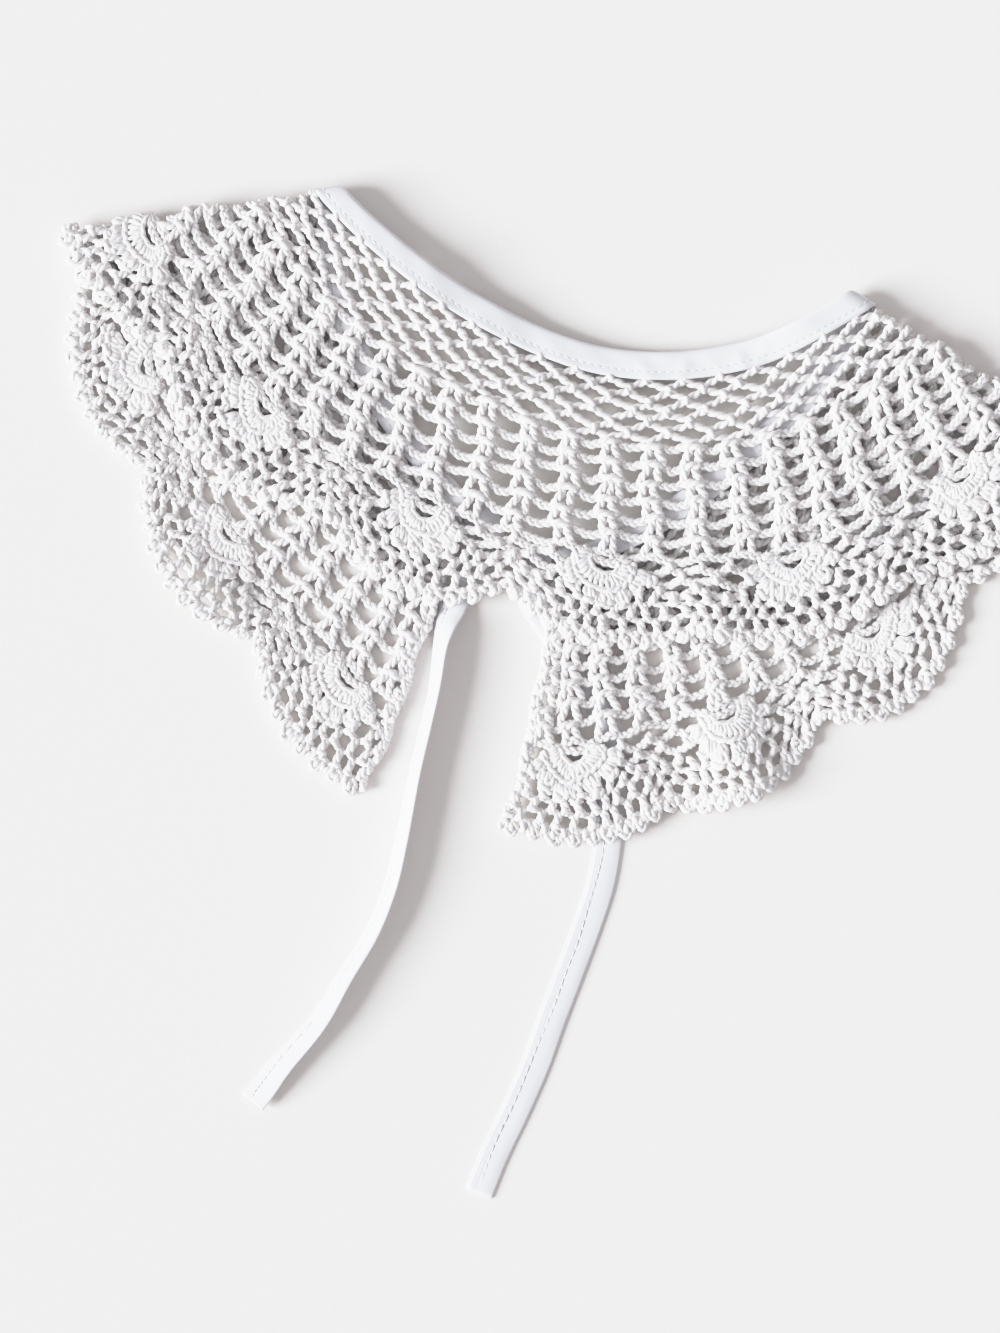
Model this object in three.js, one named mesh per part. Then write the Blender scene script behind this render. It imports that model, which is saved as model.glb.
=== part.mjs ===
import * as THREE from "three";

// A crochet cape collar laid flat on a table, folded at both shoulders: the back lies on top and the two
// fronts lie beneath it, each with its own corner showing below the back's hem. A binding of bias tape holds
// the neck edge and runs on past both front edges as a tie.
// All sizes are in millimetres. X runs to the right and Y up towards the neck, both along the table, Z up.

// Driving dimensions of the cloth.
const COLLAR_DEPTH = 105; // neck edge to the tip of a hem scallop, along a column
const NET_END = 34; // where the close net under the neck ends
const FAN_BASE = 72; // where the six open rows end and the row of fans begins
const OPEN_ROWS = 6;
const FAN_HEIGHT = 14;
const FAN_HALF_WIDTH = 12;
const FAN_RELIEF = 0.9; // how far a fan's thick stitches stand above the net
const FAN_CREST = 0.75; // share of a fan's reach that stands at its full relief
const FAN_STEP = 4; // height of one grid row across a fan
const FAN_SPACING = 4; // columns from one fan to the next
const COLUMN_AT_FANS = 15; // width of one column at the fan row
const PICOT_ROW = 98; // where the last row, of picots, begins
const PICOT_DEPTH = 2;
const LACE_THICKNESS = 2.2;
const LACE_IN_BINDING = 1; // the net is pressed thin where the binding grips it

// Driving dimensions of the bias tape.
const TAPE_WIDTH = 10;
const BINDING_THICKNESS = 3.8;
const BINDING_WALL = 0.9;
const BINDING_CORNER = 0.7;
const TIE_THICKNESS = 1.2;
const SEAM_GAP = 0.3;

// The shoulder folds. Cloth rolls round FOLD_RADIUS, and each fold's line is the outermost line of the roll.
const FOLD_RADIUS = 2.6;
const FOLD_REACH = FOLD_RADIUS + LACE_THICKNESS / 2;
const FOLD_STEPS = 4;
const FOLD_FLAT = 12; // how far from the roll the cloth keeps the roll's height
const FOLD_EASE = 20; // how much further it takes to settle to its own height
const LOWER_AT_FOLD = BINDING_THICKNESS / 2;
const ROLL_CENTRE = LOWER_AT_FOLD + FOLD_RADIUS;
const LEFT_FOLD = { neckX: -81.2, neckY: 175.3, hemX: -181.7, hemY: 161.0, side: -1 };
const RIGHT_FOLD = { neckX: 95.6, neckY: 139.0, hemX: 178.9, hemY: 88.6, side: 1 };

// Column lines across each panel: u counts columns of stitches round the collar, with a fan at every fourth.
// Each row says where that column lies flat: at the neck edge, at the fan row and at the hem.
const BACK_COLUMNS = [
  { u: -4, neckX: -135.5, neckY: 234.5, fanX: -168.7, fanY: 217.0, hemX: -198.5, hemY: 211.8 },
  { u: 0, neckX: -104.0, neckY: 200.6, fanX: -144.2, fanY: 159.3, hemX: -178.9, hemY: 149.1 },
  { u: 4, neckX: -71.8, neckY: 165.6, fanX: -106.4, fanY: 102.2, hemX: -129.2, hemY: 75.6 },
  { u: 8, neckX: -33.6, neckY: 137.2, fanX: -52.2, fanY: 67.6, hemX: -61.3, hemY: 31.5 },
  { u: 12, neckX: 11.6, neckY: 119.4, fanX: 10.2, fanY: 48.0, hemX: 8.1, hemY: 13.3 },
  { u: 16, neckX: 59.9, neckY: 122.2, fanX: 73.9, fanY: 49.7, hemX: 78.4, hemY: 14.7 },
  { u: 20, neckX: 106.0, neckY: 145.3, fanX: 131.3, fanY: 78.4, hemX: 152.3, hemY: 50.8 },
  { u: 24, neckX: 148.1, neckY: 166.3, fanX: 177.8, fanY: 120.8, hemX: 195.3, hemY: 103.3 },
];
const LEFT_FRONT_COLUMNS = [
  { u: -13.6, neckX: -38.0, neckY: 68.0, fanX: -61.3, fanY: -5.0, hemX: -76.0, hemY: -42.0 },
  { u: -12, neckX: -48.0, neckY: 79.8, fanX: -78.1, fanY: 7.7, hemX: -100.5, hemY: -22.8 },
  { u: -8, neckX: -63.4, neckY: 102.2, fanX: -118.3, fanY: 56.0, hemX: -146.7, hemY: 37.8 },
  { u: -4, neckX: -74.6, neckY: 126.0, fanX: -146.7, fanY: 113.4, hemX: -178.2, hemY: 106.8 },
  { u: 0, neckX: -80.9, neckY: 152.6, fanX: -151.5, fanY: 171.9, hemX: -181.0, hemY: 178.5 },
  { u: 4, neckX: -84.7, neckY: 189.0, fanX: -146.0, fanY: 231.0, hemX: -170.5, hemY: 248.5 },
];
const RIGHT_FRONT_COLUMNS = [
  { u: 16, neckX: 106.0, neckY: 161.0, fanX: 182.8, fanY: 168.2, hemX: 218.0, hemY: 171.5 },
  { u: 20, neckX: 94.2, neckY: 134.8, fanX: 167.2, fanY: 123.9, hemX: 200.6, hemY: 119.0 },
  { u: 24, neckX: 79.1, neckY: 109.9, fanX: 141.4, fanY: 75.3, hemX: 169.8, hemY: 59.5 },
  { u: 28, neckX: 59.2, neckY: 88.9, fanX: 101.4, fanY: 25.0, hemX: 120.8, hemY: -4.2 },
  { u: 32, neckX: 32.9, neckY: 67.6, fanX: 50.8, fanY: -4.6, hemX: 63.0, hemY: -39.9 },
  { u: 36, neckX: 6.0, neckY: 52.5, fanX: -1.8, fanY: -18.2, hemX: 4.6, hemY: -56.7 },
  { u: 37.6, neckX: -6.7, neckY: 49.7, fanX: -18.9, fanY: -19.3, hemX: -27.0, hemY: -51.8 },
];

// The notches between the hem's scallops: at which column, and how much shorter the collar is there than at
// a fan.
const NOTCHES = [
  { u: -10, drop: 14 },
  { u: -6, drop: 14 },
  { u: -2, drop: 7 },
  { u: 2, drop: 12 },
  { u: 6, drop: 13 },
  { u: 10, drop: 13 },
  { u: 14, drop: 6 },
  { u: 18, drop: 5 },
  { u: 22, drop: 6 },
  { u: 26, drop: 14 },
  { u: 30, drop: 14 },
  { u: 34, drop: 6 },
];

// Height of the middle of the back's neck edge above the table. It arches up off both shoulders.
const BACK_NECK_HEIGHTS = [
  { u: 0, height: 7.1 },
  { u: 2.4, height: 8 },
  { u: 4, height: 9.5 },
  { u: 6, height: 8.5 },
  { u: 8, height: 6 },
  { u: 10, height: 4 },
  { u: 12, height: 3.2 },
  { u: 14, height: 3.2 },
  { u: 16, height: 4 },
  { u: 18, height: 5.5 },
  { u: 19.4, height: 7 },
  { u: 22, height: 7.1 },
];
const BACK_HEIGHT = 5.5; // middle of the back where it lies on the fronts
const FRONT_HEIGHT = LACE_THICKNESS / 2; // middle of a front where it lies on the table
const NECK_EASE_END = 22; // how far down from the neck the binding's height still shows

// Soft ripples that stand out of a panel along its columns: where, how wide in columns, how high, and the
// stretch of the depth over which each rises.
const BACK_RIPPLES = [
  { u: 14.2, halfWidth: 1.1, height: 2.5, from: 60, to: 85 },
  { u: 11.4, halfWidth: 1.6, height: 1.3, from: 48, to: 66 },
  { u: 17.6, halfWidth: 1.2, height: 1.8, from: 45, to: 80 },
  { u: 6.2, halfWidth: 1.4, height: 1.5, from: 40, to: 75 },
];
const LEFT_FRONT_RIPPLES = [{ u: -8.5, halfWidth: 1.6, height: 4, from: 78, to: 95 }];
const RIGHT_FRONT_RIPPLES = [
  { u: 32.2, halfWidth: 1.5, height: 6, from: 56, to: 90 },
  { u: 29.4, halfWidth: 1.1, height: 2, from: 70, to: 95 },
];
const TIE_UNDER_FRONT = { from: 33.4, full: 34.6, height: 1.8, depthFrom: 11, depthFull: 19 };

// The ties as they lie, from just past each front edge to the free end. roll is the tape's lean in degrees:
// 0 lies flat and 90 stands on its edge.
const LEFT_TIE_ROUTE = [
  { x: -38.5, y: 63.0, roll: 0 },
  { x: -33.6, y: 61.3, roll: 0 },
  { x: -30.4, y: 57.4, roll: 0 },
  { x: -30.0, y: 51.8, roll: 0 },
  { x: -32.2, y: 46.6, roll: 0 },
  { x: -35.6, y: 41.8, roll: 1 },
  { x: -38.9, y: 37.4, roll: 3 },
  { x: -41.7, y: 32.8, roll: 8 },
  { x: -44.0, y: 27.8, roll: 20 },
  { x: -46.4, y: 22.0, roll: 40 },
  { x: -48.1, y: 13.8, roll: 60 },
  { x: -49.6, y: 2.1, roll: 66 },
  { x: -53.1, y: -13.5, roll: 66 },
  { x: -56.8, y: -29.1, roll: 65 },
  { x: -61.4, y: -52.5, roll: 62 },
  { x: -65.2, y: -68.2, roll: 60 },
  { x: -71.4, y: -83.8, roll: 58 },
  { x: -80.9, y: -99.4, roll: 54 },
  { x: -90.2, y: -115.1, roll: 46 },
  { x: -103.4, y: -130.6, roll: 34 },
  { x: -109.3, y: -138.5, roll: 22 },
  { x: -113.6, y: -143.9, roll: 14 },
];
const RIGHT_TIE_ROUTE = [
  { x: -8.8, y: 45.0, roll: 0 },
  { x: -12.8, y: 45.2, roll: 0 },
  { x: -16.2, y: 42.4, roll: 0 },
  { x: -17.1, y: 37.3, roll: 0 },
  { x: -15.4, y: 31.0, roll: 0 },
  { x: -10.7, y: 23.5, roll: 0 },
  { x: -2.6, y: 12.6, roll: 0 },
  { x: 4.6, y: 1.8, roll: 0 },
  { x: 9.4, y: -8.8, roll: 0 },
  { x: 12.1, y: -21.0, roll: 0 },
  { x: 12.4, y: -35.0, roll: 0 },
  { x: 10.6, y: -54.3, roll: 0 },
  { x: 8.1, y: -68.3, roll: 0 },
  { x: 3.0, y: -83.8, roll: 0 },
  { x: -2.8, y: -99.4, roll: 0 },
  { x: -8.8, y: -115.0, roll: 0 },
  { x: -14.4, y: -130.6, roll: 0 },
  { x: -21.2, y: -146.3, roll: 0 },
  { x: -28.7, y: -162.0, roll: 0 },
  { x: -34.5, y: -176.1, roll: 0 },
];
const TIE_STATIONS = 40;
const TIE_CORNERS = [
  [-1, -1],
  [1, -1],
  [1, 1],
  [-1, 1],
];
const TIE_CAP = [
  [0, 1, 2],
  [0, 2, 3],
];
const BINDING_TURN = 3; // how far past a roll the binding's sections take to turn square to the neck
const HALVINGS = 40; // steps of halving that find a column
const HALF_COLUMN = 0.5; // the grid is this fine from the fans to the hem
const LEAST_STEP = 0.4; // no grid column is narrower than this share of the usual step
const PLACES = 1000; // flat points that agree to one part in this of a millimetre are one point

// The middle of the laid-out collar in the frame of the tables above, taken as the part's own middle.
const MIDDLE = { x: -0.891, y: -1.048 };

const { smoothstep, clamp, lerp } = THREE.MathUtils;

// Catmull-Rom value of one named column of a table whose rows are spaced unevenly along u.
function along(table, u, key) {
  const last = table.length - 1;
  const i = clamp(table.findIndex((row) => row.u > u) - 1, 0, last - 1);
  const k = u >= table[last].u ? last - 1 : i;
  const slope = (j) => {
    const a = table[Math.max(j - 1, 0)];
    const b = table[Math.min(j + 1, last)];
    return (b[key] - a[key]) / (b.u - a.u);
  };
  const from = table[k];
  const to = table[k + 1];
  const span = to.u - from.u;
  const h = (u - from.u) / span;
  const h2 = h * h;
  const h3 = h2 * h;
  return (
    (2 * h3 - 3 * h2 + 1) * from[key] +
    (h3 - 2 * h2 + h) * span * slope(k) +
    (3 * h2 - 2 * h3) * to[key] +
    (h3 - h2) * span * slope(k + 1)
  );
}

// A value from a table of heights, eased between its rows and held past its ends.
function easedAlong(table, u, key) {
  const next = table.findIndex((row) => row.u > u);
  if (next === 0) return table[0][key];
  if (next < 0) return table[table.length - 1][key];
  const a = table[next - 1];
  const b = table[next];
  return lerp(a[key], b[key], smoothstep(u, a.u, b.u));
}

// How much shorter the collar is at column u than at a fan. Past the last notches the fronts end in plain
// points.
function scallopDrop(u) {
  const reach = FAN_SPACING / 2;
  const notch = NOTCHES.find((row) => Math.abs(u - row.u) <= reach);
  return notch ? notch.drop * (1 - Math.abs(u - notch.u) / reach) ** 2 : 0;
}

// How far a fan's stitches stand up at column u and depth s.
function fanRelief(u, s) {
  const across = (u - FAN_SPACING * Math.round(u / FAN_SPACING)) * COLUMN_AT_FANS;
  if (s < FAN_BASE) return 0;
  const reach = Math.hypot(across / FAN_HALF_WIDTH, (s - FAN_BASE) / FAN_HEIGHT);
  return FAN_RELIEF * (1 - smoothstep(reach, FAN_CREST, 1));
}

function ripples(list, u, s) {
  return list.reduce((sum, ripple) => {
    const off = Math.abs(u - ripple.u) / ripple.halfWidth;
    if (off >= 1) return sum;
    const crest = 0.5 + 0.5 * Math.cos(Math.PI * off);
    return sum + ripple.height * crest * smoothstep(s, ripple.from, ripple.to);
  }, 0);
}

function backHeight(u, s) {
  const neck = easedAlong(BACK_NECK_HEIGHTS, u, "height");
  const settled = lerp(neck, BACK_HEIGHT, smoothstep(s, TAPE_WIDTH, NECK_EASE_END));
  return settled + ripples(BACK_RIPPLES, u, s);
}

function frontHeight(u, s, list) {
  const easedNeck = lerp(LOWER_AT_FOLD, FRONT_HEIGHT, smoothstep(s, TAPE_WIDTH, NECK_EASE_END));
  return easedNeck + ripples(list, u, s);
}

function rightFrontHeight(u, s) {
  const over = TIE_UNDER_FRONT;
  const lift = smoothstep(u, over.from, over.full) * smoothstep(s, over.depthFrom, over.depthFull);
  return frontHeight(u, s, RIGHT_FRONT_RIPPLES) + over.height * lift;
}

// Each panel of lace: its column lines, the columns where it starts and ends, the folds that bound it, whether
// it is the upper or the lower layer of them, and its height.
const BACK = {
  columns: BACK_COLUMNS,
  start: -4,
  end: 24,
  folds: [LEFT_FOLD, RIGHT_FOLD],
  layer: 1,
  height: backHeight,
};
const LEFT_FRONT = {
  columns: LEFT_FRONT_COLUMNS,
  start: -13.6,
  end: 4,
  folds: [LEFT_FOLD],
  layer: -1,
  height: (u, s) => frontHeight(u, s, LEFT_FRONT_RIPPLES),
};
const RIGHT_FRONT = {
  columns: RIGHT_FRONT_COLUMNS,
  start: 16,
  end: 37.6,
  folds: [RIGHT_FOLD],
  layer: -1,
  height: rightFrontHeight,
};

// Where column u of a panel lies at depth s, before its folds are rolled. The binding keeps its true width.
function flatPoint(panel, u, s) {
  const at = (key) => along(panel.columns, u, key);
  const [nx, ny, fx, fy, hx, hy] = ["neckX", "neckY", "fanX", "fanY", "hemX", "hemY"].map(at);
  const place = (n, f, h, d) =>
    (n * (d - FAN_BASE) * (d - COLLAR_DEPTH)) / (FAN_BASE * COLLAR_DEPTH) +
    (f * d * (d - COLLAR_DEPTH)) / (FAN_BASE * (FAN_BASE - COLLAR_DEPTH)) +
    (h * d * (d - FAN_BASE)) / (COLLAR_DEPTH * (COLLAR_DEPTH - FAN_BASE));
  const scale = Math.hypot(place(nx, fx, hx, 1) - nx, place(ny, fy, hy, 1) - ny);
  const bound = TAPE_WIDTH / scale;
  let depth = s;
  if (s < TAPE_WIDTH) depth = s / scale;
  else if (s < FAN_BASE) depth = lerp(bound, FAN_BASE, (s - TAPE_WIDTH) / (FAN_BASE - TAPE_WIDTH));
  else {
    const reach = (s - FAN_BASE) / (COLLAR_DEPTH - FAN_BASE);
    depth -= scallopDrop(u) * reach;
  }
  return { u, s, x: place(nx, fx, hx, depth), y: place(ny, fy, hy, depth) };
}

// The unit vector from a fold's line into the collar.
function inward(fold) {
  const dx = fold.hemX - fold.neckX;
  const dy = fold.hemY - fold.neckY;
  const length = Math.hypot(dx, dy);
  return { x: (fold.side * dy) / length, y: (-fold.side * dx) / length };
}

// Distance of a flat point from a fold's line, positive inside the collar.
function insideFold(fold, point) {
  const n = inward(fold);
  return (point.x - fold.neckX) * n.x + (point.y - fold.neckY) * n.y;
}

// Where the flat cloth ends short of the middle of a roll, so that the two layers keep a seam's gap.
const ROLL_END = FOLD_REACH - FOLD_RADIUS * (Math.PI / 2) + SEAM_GAP / 2;
const ROLL_LINES = Array.from(
  { length: FOLD_STEPS },
  (_, i) => FOLD_REACH - (FOLD_RADIUS * (Math.PI / 2) * i) / FOLD_STEPS,
);

// A flat point set at its height, w above the cloth's middle, and rolled where it reaches a fold.
function settle(panel, point, w) {
  let { x, y } = point;
  let z = panel.height(point.u, point.s);
  for (const fold of panel.folds) {
    const inside = insideFold(fold, point);
    const atFold = ROLL_CENTRE + panel.layer * FOLD_RADIUS;
    z = lerp(atFold, z, smoothstep(inside - FOLD_REACH, FOLD_FLAT, FOLD_FLAT + FOLD_EASE));
  }
  z += w;
  for (const fold of panel.folds) {
    const inside = insideFold(fold, point);
    if (inside >= FOLD_REACH) continue;
    const n = inward(fold);
    const angle = (FOLD_REACH - inside) / FOLD_RADIUS;
    const radius = FOLD_RADIUS + panel.layer * w;
    const shift = FOLD_REACH - radius * Math.sin(angle) - inside;
    x += n.x * shift;
    y += n.y * shift;
    z = ROLL_CENTRE + panel.layer * radius * Math.cos(angle);
  }
  return new THREE.Vector3(x, y, z);
}

// The part of a convex outline on the side of a fold's parallel line where distance times sign is larger.
function clip(outline, fold, distance, sign) {
  const kept = [];
  outline.forEach((a, i) => {
    const b = outline[(i + 1) % outline.length];
    const da = sign * (insideFold(fold, a) - distance);
    const db = sign * (insideFold(fold, b) - distance);
    if (da >= 0) kept.push(a);
    if (da * db < 0) {
      const k = da / (da - db);
      kept.push({
        u: lerp(a.u, b.u, k),
        s: lerp(a.s, b.s, k),
        x: lerp(a.x, b.x, k),
        y: lerp(a.y, b.y, k),
      });
    }
  });
  return kept.length > 2 ? kept : null;
}

// An outline cut into the strips between the lines where a fold's roll bends it, without what lies past the
// roll.
function cutAtFold(outline, fold) {
  const strips = [];
  let rest = outline;
  for (const line of ROLL_LINES) {
    const outer = rest && clip(rest, fold, line, 1);
    if (outer) strips.push(outer);
    rest = rest && clip(rest, fold, line, -1);
  }
  const last = rest && clip(rest, fold, ROLL_END, 1);
  if (last) strips.push(last);
  return strips;
}

// Twice the area of a triangle of flat points, positive when they run counterclockwise.
const cross = (a, b, c) => (b.x - a.x) * (c.y - a.y) - (b.y - a.y) * (c.x - a.x);

function signedArea(outline) {
  return outline.reduce((sum, p, i) => {
    const q = outline[(i + 1) % outline.length];
    return sum + (p.x * q.y - q.x * p.y) / 2;
  }, 0);
}

// Triangles of a convex outline, fanned from whichever corner leaves the least slender ones.
function fanned(outline) {
  const n = outline.length;
  let best = null;
  for (let apex = 0; apex < n; apex++) {
    const triangles = [];
    let least = Infinity;
    for (let i = 1; i < n - 1; i++) {
      const triangle = [outline[apex], outline[(apex + i) % n], outline[(apex + i + 1) % n]];
      least = Math.min(least, cross(...triangle));
      triangles.push(triangle);
    }
    if (!best || least > best.least) best = { least, triangles };
  }
  return best.triangles;
}

// The gap in one cell of an open row, in shares of the cell's width and height. The chain below it sags.
const GAP_OUTLINE = [
  { across: 0.16, down: 0.16 },
  { across: 0.84, down: 0.16 },
  { across: 0.8, down: 0.72 },
  { across: 0.5, down: 0.92 },
  { across: 0.2, down: 0.72 },
];

function gapIn(panel, left, right, top, bottom) {
  return GAP_OUTLINE.map(({ across, down }) => ({
    ...flatPoint(panel, lerp(left, right, across), lerp(top, bottom, down)),
    across,
    down,
  }));
}

// Triangles between a cell's outline and the gap in it, both listed with their share across and down the
// cell.
function ringed(outer, inner) {
  const turn = (p) => Math.atan2(p.down - 0.5, p.across - 0.5);
  const steps = [
    ...outer.map((p) => ({ p, outside: true, angle: turn(p) })),
    ...inner.map((p) => ({ p, outside: false, angle: turn(p) })),
  ].sort((a, b) => a.angle - b.angle);
  const lastOf = (outside) => steps.filter((step) => step.outside === outside).pop().p;
  let out = lastOf(true);
  let into = lastOf(false);
  return steps.map((step) => {
    const triangle = [out, step.p, into];
    if (step.outside) out = step.p;
    else into = step.p;
    return triangle;
  });
}

// Depths of the grid lines of the lace, from inside the binding to the row above the picots.
const BINDING_MOUTH = TAPE_WIDTH + 0.2; // just clear of the binding
const FULL_THICKNESS = BINDING_MOUTH + 1; // where the lace has come back to its full thickness
const LACE_TOP = BINDING_WALL + 2 * SEAM_GAP;
const NET_LINES = [LACE_TOP, BINDING_MOUTH, FULL_THICKNESS, (FULL_THICKNESS + NET_END) / 2, NET_END];
const OPEN_LINES = Array.from(
  { length: OPEN_ROWS + 1 },
  (_, i) => NET_END + ((FAN_BASE - NET_END) * i) / OPEN_ROWS,
);
const FAN_LINES = [0, FAN_STEP, 2 * FAN_STEP, FAN_HEIGHT].map((down) => FAN_BASE + down).concat(PICOT_ROW);

// Closed wall of cloth from triangles of flat points: a face above, a face below and a wall round every edge.
function closedWall(panel, triangles) {
  const points = [];
  const indexOf = new Map();
  const indexed = (point) => {
    const key = Math.round(point.x * PLACES) + "," + Math.round(point.y * PLACES);
    if (!indexOf.has(key)) {
      indexOf.set(key, points.length);
      points.push(point);
    }
    return indexOf.get(key);
  };
  const faces = triangles
    .map((t) => (signedArea(t) > 0 ? t : [t[0], t[2], t[1]]).map(indexed))
    .filter(([a, b, c]) => a !== b && b !== c && c !== a);
  const half = (point) => (point.s <= BINDING_MOUTH ? LACE_IN_BINDING : LACE_THICKNESS) / 2;
  const above = points.map((p) => settle(panel, p, half(p) + fanRelief(p.u, p.s)));
  const below = points.map((p) => settle(panel, p, -half(p)));
  const n = points.length;
  const edges = new Set(faces.flatMap(([a, b, c]) => [a + "," + b, b + "," + c, c + "," + a]));
  const index = faces.flatMap(([a, b, c]) => [a, b, c, n + a, n + c, n + b]);
  for (const edge of edges) {
    const [a, b] = edge.split(",").map(Number);
    if (!edges.has(b + "," + a)) index.push(b, a, n + a, b, n + a, n + b);
  }
  return surface([...above, ...below], index);
}

function surface(vectors, index) {
  const geometry = new THREE.BufferGeometry().setFromPoints(vectors);
  geometry.setIndex(index);
  return geometry;
}

// Column positions from a panel's start to its end at whole multiples of the step, with no sliver at either
// end.
function columnSteps(panel, step) {
  const least = LEAST_STEP * step;
  const steps = [panel.start];
  const first = Math.ceil((panel.start + least) / step);
  for (let k = first; k * step < panel.end - least; k++) steps.push(k * step);
  return [...steps, panel.end];
}

// The outline of a cell between two columns and two depths, with the finer columns below it where there are
// any.
function cell(panel, left, right, top, bottom, between = []) {
  const corner = (u, s) => ({
    ...flatPoint(panel, u, s),
    across: (u - left) / (right - left),
    down: (s - top) / (bottom - top),
  });
  return [
    corner(left, top),
    corner(right, top),
    corner(right, bottom),
    ...between.map((u) => corner(u, bottom)).reverse(),
    corner(left, bottom),
  ];
}

function laceWall(panel) {
  const triangles = [];
  const addSolid = (outline) => {
    let pieces = [signedArea(outline) > 0 ? outline : [...outline].reverse()];
    for (const fold of panel.folds) pieces = pieces.flatMap((piece) => cutAtFold(piece, fold));
    for (const piece of pieces) triangles.push(...fanned(piece));
  };
  const eachCell = (steps, lines, use) => {
    for (let row = 0; row < lines.length - 1; row++)
      for (let i = 0; i < steps.length - 1; i++) use(steps[i], steps[i + 1], lines[row], lines[row + 1]);
  };
  const columns = columnSteps(panel, 1);
  const halves = columnSteps(panel, HALF_COLUMN);
  eachCell(columns, NET_LINES, (...sides) => addSolid(cell(panel, ...sides)));
  eachCell(columns, OPEN_LINES, (left, right, top, bottom) => {
    const finer = bottom < FAN_BASE ? [] : halves.filter((u) => u > left && u < right);
    const outline = cell(panel, left, right, top, bottom, finer);
    const rolls = outline.some((p) => panel.folds.some((fold) => insideFold(fold, p) < FOLD_REACH));
    if (rolls || right - left < 1) addSolid(outline);
    else triangles.push(...ringed(outline, gapIn(panel, left, right, top, bottom)));
  });
  eachCell(halves, FAN_LINES, (...sides) => addSolid(cell(panel, ...sides)));
  eachCell(halves, [FAN_LINES.at(-1), COLLAR_DEPTH - PICOT_DEPTH], (left, right, top, bottom) => {
    const outline = cell(panel, left, right, top, bottom);
    outline.splice(3, 0, flatPoint(panel, (left + right) / 2, COLLAR_DEPTH));
    addSolid(outline);
  });
  return closedWall(panel, triangles);
}

// The column at which depth s of a panel lies a given distance inside a fold.
function columnAtFold(panel, fold, s, distance) {
  const insideAt = (u) => insideFold(fold, flatPoint(panel, u, s));
  let outer = insideAt(panel.start) < insideAt(panel.end) ? panel.start : panel.end;
  let inner = (panel.start + panel.end) / 2;
  for (let i = 0; i < HALVINGS; i++) {
    const middle = (outer + inner) / 2;
    if (insideAt(middle) < distance) outer = middle;
    else inner = middle;
  }
  return (outer + inner) / 2;
}

// A closed solid through sections that each have the same number of points, capped at both ends.
function loft(sections, cap) {
  const n = sections[0].length;
  const index = [];
  for (let i = 0; i < sections.length - 1; i++) {
    for (let j = 0; j < n; j++) {
      const a = i * n + j;
      const b = i * n + ((j + 1) % n);
      index.push(a, b, a + n, b, b + n, a + n);
    }
  }
  const end = (sections.length - 1) * n;
  for (const [a, b, c] of cap) index.push(a, c, b, end + a, end + b, end + c);
  return facingOut(surface(sections.flat(), index));
}

// Turns every face of a closed surface round if they face inwards.
function facingOut(geometry) {
  const position = geometry.getAttribute("position");
  const corner = (i) => new THREE.Vector3().fromBufferAttribute(position, geometry.index.getX(i));
  let volume = 0;
  for (let i = 0; i < geometry.index.count; i += 3)
    volume += corner(i).dot(corner(i + 1).cross(corner(i + 2)));
  if (volume < 0) geometry.setIndex([...geometry.index.array].reverse());
  return geometry;
}

// Section of the binding across the tape: s from the neck edge, w above the middle. It is open towards the
// hem.
const BINDING_HALF = BINDING_THICKNESS / 2;
const BINDING_SLOT = BINDING_HALF - BINDING_WALL;
const BINDING_SECTION = [
  { s: BINDING_CORNER, w: BINDING_HALF },
  { s: TAPE_WIDTH, w: BINDING_HALF },
  { s: TAPE_WIDTH, w: BINDING_SLOT },
  { s: BINDING_WALL + SEAM_GAP, w: BINDING_SLOT },
  { s: BINDING_WALL + SEAM_GAP, w: -BINDING_SLOT },
  { s: TAPE_WIDTH, w: -BINDING_SLOT },
  { s: TAPE_WIDTH, w: -BINDING_HALF },
  { s: BINDING_CORNER, w: -BINDING_HALF },
  { s: 0, w: BINDING_CORNER - BINDING_HALF },
  { s: 0, w: BINDING_HALF - BINDING_CORNER },
];

// The binding along one panel's neck edge. Its sections turn to lie along each fold near it.
function binding(panel) {
  const atColumn = (u) => BINDING_SECTION.map(({ s, w }) => settle(panel, flatPoint(panel, u, s), w));
  const atFold = (fold, distance) =>
    BINDING_SECTION.map(({ s, w }) => {
      const u = columnAtFold(panel, fold, s, distance);
      return settle(panel, flatPoint(panel, u, s), w);
    });
  const clearOfFolds = (u) =>
    panel.folds.every((fold) =>
      [0, TAPE_WIDTH].every((s) => insideFold(fold, flatPoint(panel, u, s)) > FOLD_REACH + BINDING_TURN),
    );
  const sections = columnSteps(panel, 1).filter(clearOfFolds).map(atColumn);
  for (const fold of panel.folds) {
    const roll = [...ROLL_LINES, ROLL_END].map((distance) => atFold(fold, distance));
    const first = insideFold(fold, flatPoint(panel, panel.start, 0)) < 0;
    if (first) sections.unshift(...roll.reverse());
    else sections.push(...roll);
  }
  const outline = BINDING_SECTION.map(({ s, w }) => new THREE.Vector2(s, w));
  const area = (corners) => THREE.ShapeUtils.area(corners);
  const cap = THREE.ShapeUtils.triangulateShape(outline, []).map((triangle) =>
    area(triangle.map((i) => outline[i])) * area(outline) > 0 ? triangle : triangle.reverse(),
  );
  return loft(sections, cap);
}

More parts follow.
